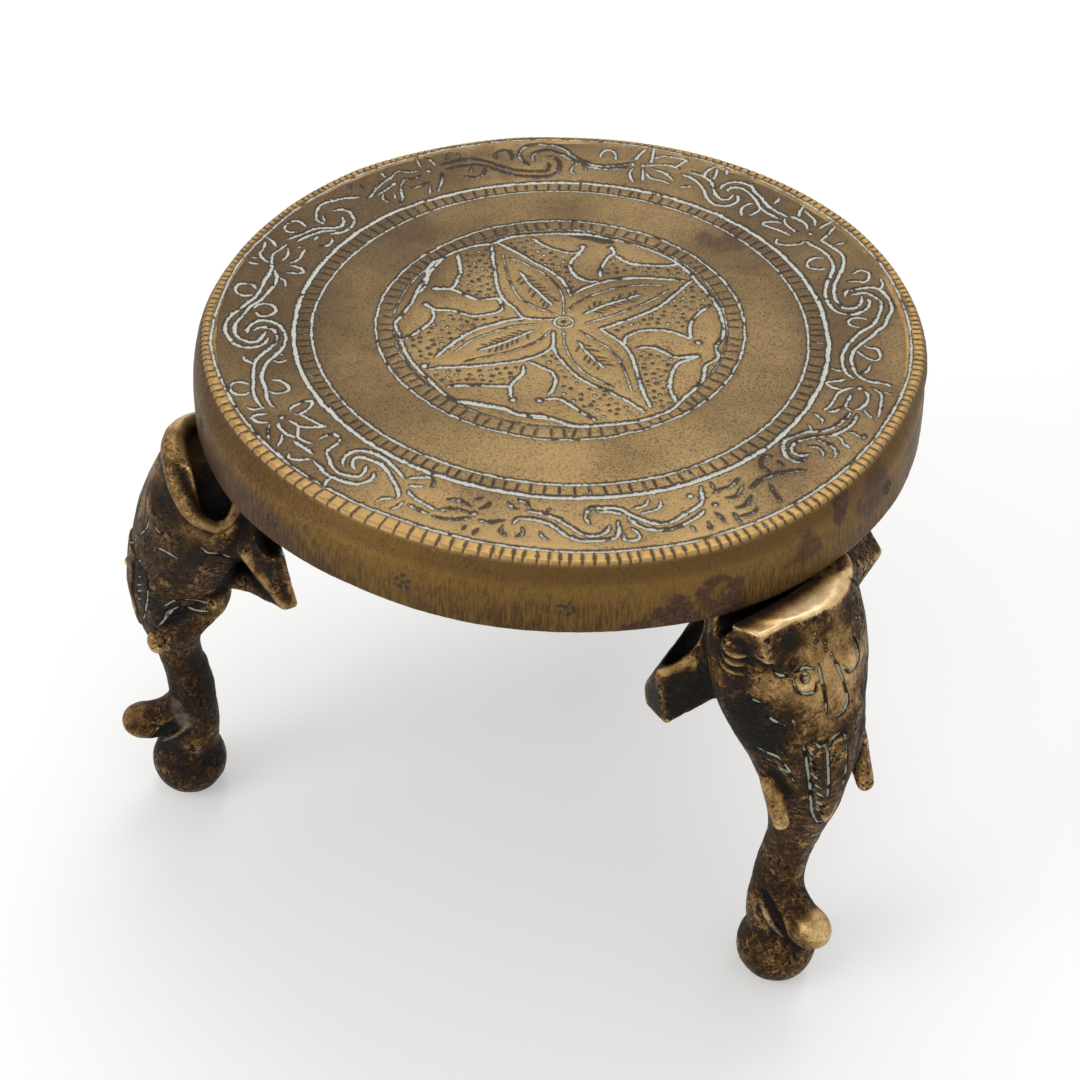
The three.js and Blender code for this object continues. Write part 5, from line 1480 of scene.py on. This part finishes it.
# lighter (above 0) and darker (below 0) places, partly rubbed brass and dark patina, partly painted
# highlights on ridges, bars and the lip and painted shade in the hollows behind the ears and under the skirt:
# u, v on either side, z, reach in mm, and how much
toneSpots = {
    "both": [
        (131, 0, 34, 9, 0.22), (132, 0, 30, 5, 0.1), (119, 0, 121, 13, 0.32), (117, 9, 118, 9, 0.26),
        (120, 3, 108, 9, 0.16), (113, 6, 130, 8, 0.2),
        (98, 0, 127, 14, -0.5), (98, 14, 127, 11, -0.45), (86, 24, 118, 9, -0.6), (88, 30, 117, 7, -0.3),
        (107, 21, 112, 9, -0.2), (112, 14, 103, 9, -0.2), (121, 7.5, 88, 5, -0.35), (118, 9, 84, 5, -0.3),
        (118, 10, 95, 6, -0.14), (122, 6.5, 24, 5, -0.4), (126, 0, 19.5, 5, -0.45), (108, 6, 40, 14, -0.16),
        (106, 0, 60, 16, -0.18), (120, 0, 66, 9, -0.08), (90, 27, 103, 13, -0.24), (84, 8, 112, 14, -0.4),
        (115.7, 0, 3, 8, 0.04), (115.7, 0, 11, 15, -0.24), (108, 8, 16, 8, -0.12), (79, 24, 118, 8, -0.45),
        (85, 35, 112, 7, -0.2),
    ],
    "right": [
        (108, 0, 137, 5, 0.1), (107.5, 8, 137, 5, 0.1), (93.5, 26, 117.5, 3, 0.2), (91, 32, 115, 3.5, 0.4),
        (92.5, 28.5, 116.3, 3.2, 0.34), (118.5, 14, 82, 6, 0.1), (122, 14.4, 77.5, 5, 0.14),
        (103, 20, 131, 6, -0.3), (104, 22, 126, 6, -0.3), (84, 26, 122, 8, -0.4),
        (90, 27, 105, 14, -0.16), (86, 28, 118, 8, -0.3), (105, 17, 100, 10, -0.34),
        (107.5, 23, 127, 4.6, 0.3),
        (112.5, 9.5, 131.4, 4.8, -0.26), (113.5, 16, 119.5, 6.5, 0.2), (121, 6.3, 111.3, 7, 0.14),
        (110.7, 20.3, 109.5, 8, -0.3), (117.5, 14.5, 105.5, 5, -0.3), (114.8, 17.5, 100.5, 8, -0.3),
        (122.7, 0, 107, 6, 0.1),
    ],
    "left": [
        (111, 9, 135.5, 9, -0.05), (110.5, 16, 132, 8, -0.05), (108.5, 22, 128, 6, -0.03),
        (102.5, 19, 126, 5, -0.5), (103.5, 5, 135, 10, 0.4), (103, 0, 136, 6, 0.1),
        (94, 26.5, 111, 4.5, 0.24), (91, 32, 108, 4, 0.3), (88, 35, 102, 4, 0.2), (113, 14, 78, 12, -0.18),
        (96, 12, 98, 9, -0.3),
        (124, 0, 115, 16, -0.2), (118, 10, 124, 12, -0.24), (131, 0, 34, 9, -0.28), (120, 10, 92, 12, -0.14),
        (115.7, 0, 10, 15, -0.34), (112, 0, 45, 22, -0.12), (106, 20, 118, 8, 0.2),
    ],
}
toneShift = {"right": 0.0, "left": -0.03, "rear": 0.0}
# greyish deposits: u, v on either side, z, reach in mm, and how much
grimeSpots = {
    "right": [(113, 6, 72, 6, 0.3), (112, 12, 118, 9, 0.15)],
    "left": [(117, 14, 101, 9, 0.4), (119, 5, 38, 6, 0.7), (116.5, 7, 33, 6, 0.85), (112, 8, 20, 5, 0.5),
             (103, 14, 100, 10, 0.5)],
    "rear": [],
}


# Point normals, from the faces round each point.
def pointNormals(thing):
    normals = np.zeros(len(thing.data.vertices) * 3, np.float32)
    thing.data.update()
    thing.data.vertex_normals.foreach_get("vector", normals)
    return normals.reshape(-1, 3).astype(float)


def readPoints(thing):
    points = np.zeros(len(thing.data.vertices) * 3, np.float32)
    thing.data.vertices.foreach_get("co", points)
    return points.reshape(-1, 3).astype(float) / mm


def writePoints(thing, points):
    thing.data.vertices.foreach_set("co", (points * mm).astype(np.float32).ravel())
    thing.data.update()


def strokeTree(lines, spacing=0.25):
    samples, ends = [], []
    for line in lines:
        dense = smoothLine(line, spacing)
        samples.append(dense)
        count = np.arange(len(dense))
        ends.append(np.minimum(count, count[::-1]) * spacing)
    tree = KDTree(sum(len(s) for s in samples))
    for i, place in enumerate(np.vstack(samples)):
        tree.insert(place, i)
    tree.balance()
    return tree, np.concatenate(ends)


def nearStrokes(points, tree, ends, reach):
    away, ease = np.full(len(points), 9.0), np.full(len(points), 9.0)
    for i, place in enumerate(points):
        found = tree.find(place)
        if found[2] < reach:
            away[i], ease[i] = found[2], ends[found[1]]
    return away, ease


# how far each point is from the nearer of two spots, v to either side of the leg's middle
def fromSpot(place, u, v, z):
    return np.sqrt((place[:, 0] - u)**2 + (np.abs(place[:, 1]) - v)**2 + (place[:, 2] - z)**2)


def carveLeg(side, points, quads, lines, dots, scratches):
    name = "elephant_leg_" + side
    leg = meshFrom(name, legToRow(points, side), quads, np.zeros((0, 3), int))
    tree, ends = strokeTree(lines)
    away, _ = nearStrokes(points, tree, ends, 3)

    finer = bmesh.new()
    finer.from_mesh(leg.data)
    finer.verts.ensure_lookup_table()
    close = away < 1.25
    edges = [e for e in finer.edges if close[e.verts[0].index] and close[e.verts[1].index]]
    bmesh.ops.subdivide_edges(finer, edges=edges, cuts=1, use_grid_fill=True)
    finer.to_mesh(leg.data)
    finer.free()
    leg.data.shade_smooth()

    normal = pointNormals(leg)
    row = readPoints(leg)
    place = rowToLeg(row, side)
    turn = math.radians(legAngles[side])
    outward = normal[:, 0] * math.cos(turn) + normal[:, 1] * math.sin(turn)

    rows = np.array(plateSet["rows"])
    half = np.interp(place[:, 2], rows[:, 0], rows[:, 1], left=-3, right=5.8)
    middle = plateSet["shift"][side] * smoothStep(60, 100, place[:, 2])
    inner = np.minimum(half - np.abs(place[:, 1] - middle), plateSet["top"] - place[:, 2])
    plate = smoothStep(-0.35, 0.45, inner) * smoothStep(0.1, 0.4, outward) * (place[:, 0] > 112)

    away, ease = nearStrokes(place, tree, ends, 4)
    width, depth = lineSet["line"]
    width *= lineSet["leftShare"] if side == "left" else 1
    rough = 0.14 * spaceNoise(place, 0.6, 61)
    share = away / (width / 2 * (0.5 + 0.5 * smoothStep(0, 1.5, ease))) + rough
    bowl = 1 - smoothStep(0.15, 1.1, share)
    burr = np.exp(-np.square((share - 1.45) / 0.3))
    cut = -depth * bowl + 0.06 * burr - 0.08 * np.exp(-np.square(away / 1.3))
    dirt = 1 - smoothStep(0.9, 1.9, share)
    residue = 1 - smoothStep(0.4, 0.95, share)
    for marks, (wide, deep), salt in ((dots, lineSet["dot"], 1.0), (scratches, lineSet["scratch"], 0.15)):
        if marks:
            marked, reached = strokeTree(marks, 0.3)
            far, _ = nearStrokes(place, marked, reached, 2)
            near = 1 - smoothStep(0.2, 1.1, far / (wide / 2))
            cut -= deep * near
            residue = np.maximum(residue, near * salt)
            dirt = np.maximum(dirt, 1 - smoothStep(0.8, 1.8, far / (wide / 2)))
    hollow, crest = (nearStrokes(place, *strokeTree(mirrored([line]) + [line]), 4)[0]
                     for line in (np.array(hollowLine)[:, :3], np.array(crestLine)[:, :3]))
    crease = (1 - smoothStep(1.2, 2.7, hollow)) * smoothStep(0.5, 1.3, crest)
    lipTop = smoothStep(134.6, 136, place[:, 2]) * smoothStep(102.5, 104.5, place[:, 0]) * (side != "left")
    lipTop = lipTop * smoothStep(0.2, 0.6, normal[:, 2])
    lipEdge = smoothStep(1.0, 6.5, np.hypot(place[:, 0], place[:, 1]) - 101.8 + 0.17 * place[:, 1])
    spotWearAndLight, worn = np.zeros(len(place)), np.zeros(len(place))
    # lighter and darker spots: rubbed brass and patina, with painted highlights and painted shade
    for u, v, z, reach, amount in toneSpots["both"] + toneSpots["left" if side == "left" else "right"]:
        gap = fromSpot(place, u, v, z)
        spot = amount * (1 - smoothStep(0.25 * reach, reach, gap))
        spotWearAndLight += spot
        worn = np.maximum(worn, spot * 3.5)
    # the lip's top: a painted highlight towards its front edge and painted shade on its inner side, under the
    # skirt
    spotWearAndLight += lipTop * (0.85 * lipEdge - 0.25)
    if side == "left":
        beside, _ = nearStrokes(place, *strokeTree([np.array(leftForm["lip"])[:, :3]]), 5)
        worn = np.maximum(worn, 0.7 * (1 - smoothStep(2.8, 4, beside)))
    worn = np.minimum(np.maximum(worn, lipTop), 1)
    cast = (0.09 * spaceNoise(place, 2.3, 62) + 0.05 * spaceNoise(place, 0.95, 63)
            + 0.2 * spaceNoise(place, 7, 64))
    pit = smoothStep(0.5, 0.8, spaceNoise(place, 0.9, 65) + 0.45 * spaceNoise(place, 5, 66)) * (1 - worn)
    inside = smoothStep(138, 141, place[:, 2])
    cut += (cast * (1 - 0.75 * worn) - 0.16 * pit) * (1 - inside) + plateSet["rise"] * plate
    cut *= smoothStep(0.0, 1.2, place[:, 2])
    row = row + normal * cut[:, None]
    row[:, 2] = np.maximum(row[:, 2], 0)
    writePoints(leg, row)

    edges = np.zeros(len(leg.data.edges) * 2, np.int32)
    leg.data.edges.foreach_get("vertices", edges)
    edges = edges.reshape(-1, 2)
    normal = pointNormals(leg)
    # concave places darker and convex ones lighter, from two measures of curvature: the close one for patina
    # in small recesses and wear on edges, the wide one as painted shade in the large hollows
    close = ((evenOut(row, edges, 5) - row) * normal).sum(1)
    wide = ((evenOut(row, edges, 70) - row) * normal).sum(1)
    tone = (0.4 - np.clip(close * 2.2, -0.25, 0.3) * (1 - 0.5 * worn)
            - np.clip(wide * 0.5, -0.25, 0.4) * (1 - lipTop))
    # painted shade: darker in the crease between the trunk's curl and the ball, and inside the skirt under
    # the top
    tone += toneShift[side] + spotWearAndLight - 0.35 * crease - 0.3 * inside - 0.14 * pit
    paintPoints(leg, "tone", tone)
    paintPoints(leg, "polish", worn)
    paintPoints(leg, "residue", residue * smoothStep(-0.45, 0.3, spaceNoise(place, 2.4, 67) + 0.25))
    paintPoints(leg, "dirt", dirt)
    grime = 0.9 * (1 - smoothStep(0.5, 1.3, crest))
    for u, v, z, reach, amount in grimeSpots[side]:
        gap = fromSpot(place, u, v, z)
        grime = np.maximum(grime, amount * (1 - smoothStep(0.2 * reach, reach, gap)))
    paintPoints(leg, "grime", grime)
    return leg


legLook = {
    "stops": [(0.0, tint(13, 10, 8)), (0.16, tint(36, 26, 17)), (0.305, tint(64, 46, 29)),
              (0.45, tint(106, 80, 48)), (0.6, tint(154, 122, 77)), (0.8, tint(208, 174, 122)),
              (1.0, tint(244, 224, 184))],
    "residue": tint(184, 190, 174),
    "grime": tint(112, 100, 90),
}


def legFinish():
    f = Finish("dark_leg_brass")
    tone, residue, dirt = f.paint("tone"), f.paint("residue"), f.paint("dirt")
    grime, polish = f.paint("grime"), f.paint("polish")
    cloud, mottle, grit = f.noise(9, 3), f.noise(2.4, 4, shift=3), f.noise(0.55, 4, shift=7)
    calm = 1 - polish * 0.5
    # brightness of the leg: painted shade and painted highlights from the tone, with mottled patina,
    # blotches, specks and dirt in the lines
    patchy = tone + ((cloud - 0.5) * 0.9 + (mottle - 0.5) * 0.85 + (grit - 0.5) * 0.8) * calm
    blotch = f.ramp(f.noise(1.5, 3, shift=11), 0.5, 0.4)
    blotch = blotch * f.ramp(cloud + mottle * 0.5 - tone * 0.3, 0.54, 0.74)
    speck = f.ramp(f.pits(0.75), 0.36, 0.2) * f.ramp(mottle * 0.6 + cloud * 0.6 - tone * 0.1, 0.5, 0.64)
    worn = patchy - (blotch * 0.3 + speck * 0.34) * (1 - polish * 0.6) - dirt * 0.3
    colour = f.node("ShaderNodeValToRGB", {"stops": legLook["stops"]}, {0: worn * 0.8})
    colour = f.blend(f.ramp(grime * (mottle * 1.3 + grit * 0.9 - 0.35), 0.2, 0.8), colour, legLook["grime"])
    salt = f.ramp(residue + (grit - 0.5) * 1.2 + (mottle - 0.5) * 1.0, 0.34, 0.86)
    colour = f.blend(salt * 0.92, colour, legLook["residue"])
    metallic = f.ramp(worn, 0.05, 0.5) * 0.85 * (1 - salt)
    roughness = 0.6 - f.ramp(worn, 0.3, 0.95) * 0.24 + salt * 0.2 + grit * 0.08
    height = (grit * 0.6 + mottle * 0.5) * calm - (blotch * 0.4 + speck * 0.6) * calm
    return f.metal(colour, metallic, roughness, height, 0.55, 0.15)


def makeLegs():
    right, left = growLeg(rightForm), growLeg(leftForm)
    skins = {"right": right, "rear": right, "left": left}
    finish = legFinish()
    for side, (lines, dots, scratches) in legLines(skins).items():
        leg = carveLeg(side, *skins[side], lines, dots, scratches)
        leg.data.materials.append(finish)
        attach(leg, "root")
        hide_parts("leg_" + side)
        print("leg made:", side, len(leg.data.vertices), "points")


# room
roomSet = {
    "white": (0.93, 0.93, 0.93, 1.0),
    "ambient": 0.7,
    "floor": tint(222, 222, 220),
    "floorGlow": 0.32,
    "floorReach": 6.0,
    # name, place, what it looks at, width and power
    "lamps": [("softOverhead", (-0.1, 0.75, 1.55), (0, 0, 0.1), 1.1, 9),
              ("softFront", (-0.9, -1.1, 0.9), (0, 0, 0.08), 0.9, 6)],
}


# 1 for rays that should meet the plain white room: the camera's, reflections and glass
def seenShare(f):
    camera = f.node("ShaderNodeLightPath", output=0)
    glossy = f.node("ShaderNodeLightPath", output=3)
    through = f.node("ShaderNodeLightPath", output=6)
    return camera.math("MAXIMUM", camera.math("MAXIMUM", camera, glossy), through)


def makeRoom():
    world = bpy.data.worlds.new("paleRoom")
    bpy.context.scene.world = world
    f = Finish("paleRoom", world)
    seen = seenShare(f)
    strength = seen + (1 - seen) * roomSet["ambient"]
    back = f.node("ShaderNodeBackground", None, {0: roomSet["white"], 1: strength})
    f.node("ShaderNodeOutputWorld", None, {0: back})

    reach = roomSet["floorReach"]
    mesh = bpy.data.meshes.new("floor")
    mesh.from_pydata([(-reach, -reach, 0), (reach, -reach, 0), (reach, reach, 0), (-reach, reach, 0)], [],
                     [(0, 1, 2, 3)])
    floor = bpy.data.objects.new("floor", mesh)
    bpy.context.scene.collection.objects.link(floor)
    f = Finish("pale_floor")
    plain = f.node("ShaderNodeBsdfDiffuse", None, {0: roomSet["floor"]})
    glow = f.node("ShaderNodeEmission", None, {0: (1, 1, 1, 1), 1: seenShare(f) * roomSet["floorGlow"]})
    both = f.node("ShaderNodeAddShader", None, {0: plain, 1: glow})
    f.node("ShaderNodeOutputMaterial", None, {0: both})
    floor.data.materials.append(f.material)


def makeLamp(name, place, aim, size, power):
    data = bpy.data.lights.new(name, "AREA")
    data.shape = "DISK"
    data.size = size
    data.energy = power
    lamp = bpy.data.objects.new(name, data)
    lamp.location = place
    lamp.rotation_euler = (Vector(aim) - Vector(place)).to_track_quat("-Z", "Y").to_euler()
    bpy.context.scene.collection.objects.link(lamp)


makeCamera()
makeRoom()
for lamp in roomSet["lamps"]:
    makeLamp(*lamp)
bpy.context.scene.view_settings.view_transform = "Standard"
print("room made")

top = makeTop()
top.data.materials.append(topFinish())
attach(top, "root")
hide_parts("table_top")

makeLegs()

turnedBrass = screwFinish()
for name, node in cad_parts.items():
    if "screw" in name:
        node.data.materials.clear()
        node.data.materials.append(turnedBrass)
